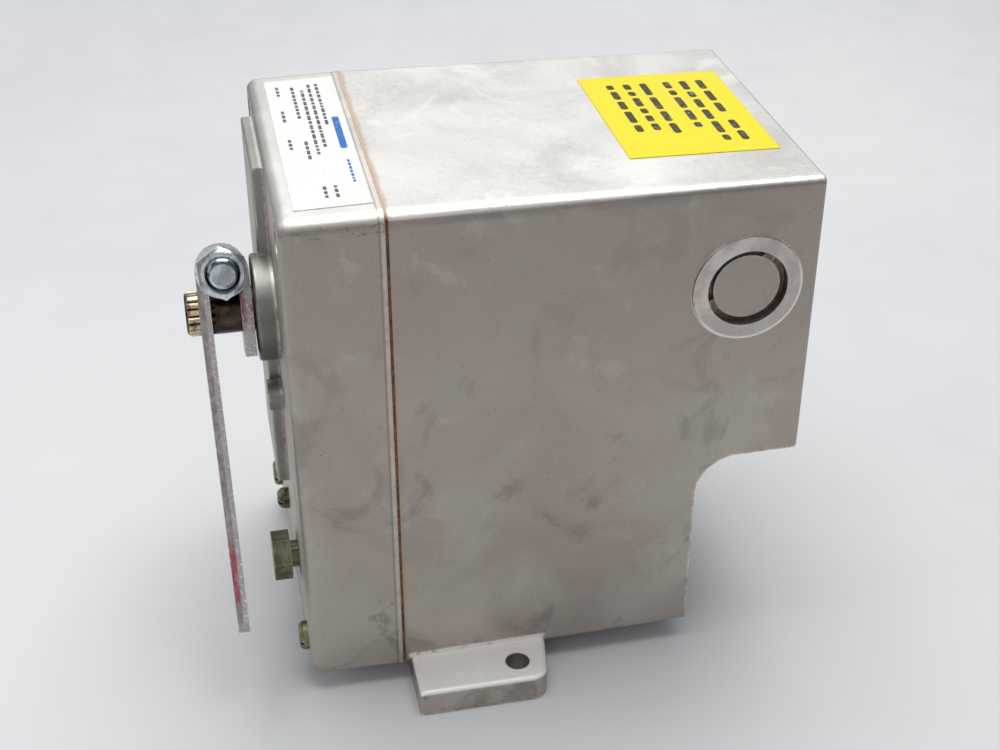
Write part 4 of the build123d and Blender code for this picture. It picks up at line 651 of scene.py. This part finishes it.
def add_bar(mesh, centre, slope, u, v, length, height, index):
    """A thin printed bar at u along the label and v across it, with clipped corners."""
    clip = BAR_CLIP * min(length, height)
    outline = []
    for su, sv in ((1, 1), (-1, 1), (-1, -1), (1, -1)):
        corners = [
            (su * length / 2, sv * (height / 2 - clip)),
            (su * (length / 2 - clip), sv * height / 2),
        ]
        outline += corners if su * sv > 0 else list(reversed(corners))
    lower, upper = (
        [
            mesh.verts.new((centre.x + u + a, centre.y + v + b, centre.z + slope * (v + b) + lift))
            for a, b in outline
        ]
        for lift in (INK_LIFT, INK_LIFT + INK_THICKNESS)
    )
    faces = [mesh.faces.new(upper), mesh.faces.new(list(reversed(lower)))]
    for start in range(len(upper)):
        after = (start + 1) % len(upper)
        faces.append(mesh.faces.new((lower[start], lower[after], upper[after], upper[start])))
    for face in faces:
        face.material_index = index


def add_text_rows(mesh, frame_of_label, rows, seed, index=0):
    """Rows of short generic bars, which stand for lines of print without any letters.

    Each row is, in millimetres: its place across the label, its start and end along it, the height
    of its bars, and their shortest and longest length.
    """
    centre, slope = frame_of_label
    picker = random.Random(seed)
    for v, start, end, height, shortest, longest in rows:
        u = start
        while u < end - shortest:
            length = min(picker.uniform(shortest, longest), end - u)
            add_bar(mesh, centre, slope, (u + length / 2) * MM, v * MM, length * MM, height * MM, index)
            u += length + BAR_SPACE * height


def finished_print(name, builder_mesh, materials):
    """Link a label's print as one piece that rides on the case."""
    data = bpy.data.meshes.new(name)
    bmesh.ops.recalc_face_normals(builder_mesh, faces=builder_mesh.faces[:])
    builder_mesh.to_mesh(data)
    builder_mesh.free()
    piece = bpy.data.objects.new(name, data)
    bpy.context.scene.collection.objects.link(piece)
    for material in materials:
        data.materials.append(material)
    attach(piece, "case")


grey_ink = printed_ink("grey_ink", (0.10, 0.10, 0.11))
blue_ink = printed_ink("blue_ink", (0.02, 0.16, 0.50))
black_ink = printed_ink("black_ink", (0.055, 0.045, 0.015))

name_face = label_frame("name_label")
name_print = bmesh.new()
add_text_rows(
    name_print,
    name_face,
    [
        (4.4, -38, -8, 0.9, 1.2, 3.2),
        (2.2, -38, 8, 0.9, 1.2, 3.6),
        (0.0, -34, 12, 0.9, 1.2, 3.2),
        (-2.6, -37, -12, 0.9, 1.2, 2.6),
        (-2.6, 2, 14, 0.9, 1.2, 2.6),
        (-6.8, -38, -31, 0.9, 1.2, 2.2),
        (-6.8, -20, -12, 0.9, 1.2, 2.2),
        (-6.8, 0, 7, 0.9, 1.2, 2.2),
        (-1.0, 31, 38, 0.9, 1.2, 2.2),
        (1.8, 31, 39, 0.9, 1.2, 2.2),
    ],
    seed=3,
)
add_text_rows(
    name_print,
    name_face,
    [
        (7.0, -13, 9, 1.9, 21, 22),
        (7.0, 16, 30, 0.7, 1.0, 1.8),
    ],
    seed=5,
    index=1,
)
finished_print("name_label_print", name_print, [grey_ink, blue_ink])

caution_print = bmesh.new()
add_text_rows(
    caution_print,
    label_frame("caution_label"),
    [
        (14.0, -22, 2, 2.1, 4.0, 10.0),
        (14.0, 8, 22, 2.1, 4.0, 8.0),
        (9.0, -22, 22, 2.1, 3.0, 9.0),
        (4.0, -22, 14, 2.1, 3.0, 9.0),
        (-3.0, -22, 18, 2.1, 3.0, 9.0),
        (-8.0, -22, 16, 2.1, 3.0, 9.0),
        (-13.0, -22, 12, 2.1, 3.0, 9.0),
    ],
    seed=11,
)
finished_print("caution_label_print", caution_print, [black_ink])


# ---------------------------------------------------------------- floor, light and camera
def pale_floor():
    """Plain pale studio floor."""
    s = Shader("pale_floor", roughness=0.55)
    shade = s.noise(3.0, 4, 0.5)
    color = s.mix(s.fade(shade, 0.3, 0.7), (0.66, 0.67, 0.69), (0.72, 0.73, 0.745))
    return s.finish(color, s.fade(s.noise(40, 4), 0.3, 0.7, 0.45, 0.6))


FLOOR_HALF = 4.0
FLOOR_LEVEL = -0.2 * MM
floor_mesh = bpy.data.meshes.new("floor")
floor_corners = [(-1, -1), (1, -1), (1, 1), (-1, 1)]
floor_places = [(x * FLOOR_HALF, y * FLOOR_HALF, FLOOR_LEVEL) for x, y in floor_corners]
floor_mesh.from_pydata(floor_places, [], [(0, 1, 2, 3)])
floor_mesh.materials.append(pale_floor())
floor = bpy.data.objects.new("floor", floor_mesh)
bpy.context.scene.collection.objects.link(floor)

WORLD_COLOR = (0.80, 0.84, 0.90, 1)
WORLD_STRENGTH = 0.34
world = bpy.data.worlds.new("studio")
world.use_nodes = True
background = world.node_tree.nodes["Background"]
background.inputs["Color"].default_value = WORLD_COLOR
background.inputs["Strength"].default_value = WORLD_STRENGTH
bpy.context.scene.world = world
bpy.context.scene.view_settings.view_transform = "Standard"

AIM = Vector((0.0, 0.0, 0.08))


def area_light(name, place, size, watts, color):
    """A soft rectangular light that points at the middle of the object."""
    lamp = bpy.data.lights.new(name, "AREA")
    lamp.shape = "RECTANGLE"
    lamp.size, lamp.size_y = size
    lamp.energy = watts
    lamp.color = color
    holder = bpy.data.objects.new(name, lamp)
    holder.location = place
    holder.rotation_euler = (AIM - Vector(place)).to_track_quat("-Z", "Y").to_euler()
    bpy.context.scene.collection.objects.link(holder)


area_light("top_softbox", (-0.25, 0.10, 1.25), (1.1, 1.3), 16.5, (1.0, 0.985, 0.96))
area_light("side_softbox", (1.1, -0.45, 0.75), (0.8, 0.8), 1.6, (1.0, 0.97, 0.93))
area_light("front_softbox", (-0.2, -1.1, 0.55), (0.7, 0.6), 2.0, (0.94, 0.97, 1.0))

camera_data = bpy.data.cameras.new("camera")
camera_data.lens = LENS_MM
camera_data.sensor_width = SENSOR_MM
camera = bpy.data.objects.new("camera", camera_data)
camera.location = CAMERA_PLACE
view = Vector(
    (
        -math.sin(VIEW_AZIMUTH) * math.cos(VIEW_ELEVATION),
        math.cos(VIEW_AZIMUTH) * math.cos(VIEW_ELEVATION),
        -math.sin(VIEW_ELEVATION),
    )
)
camera.rotation_euler = view.to_track_quat("-Z", "Y").to_euler()
bpy.context.scene.collection.objects.link(camera)
bpy.context.scene.camera = camera
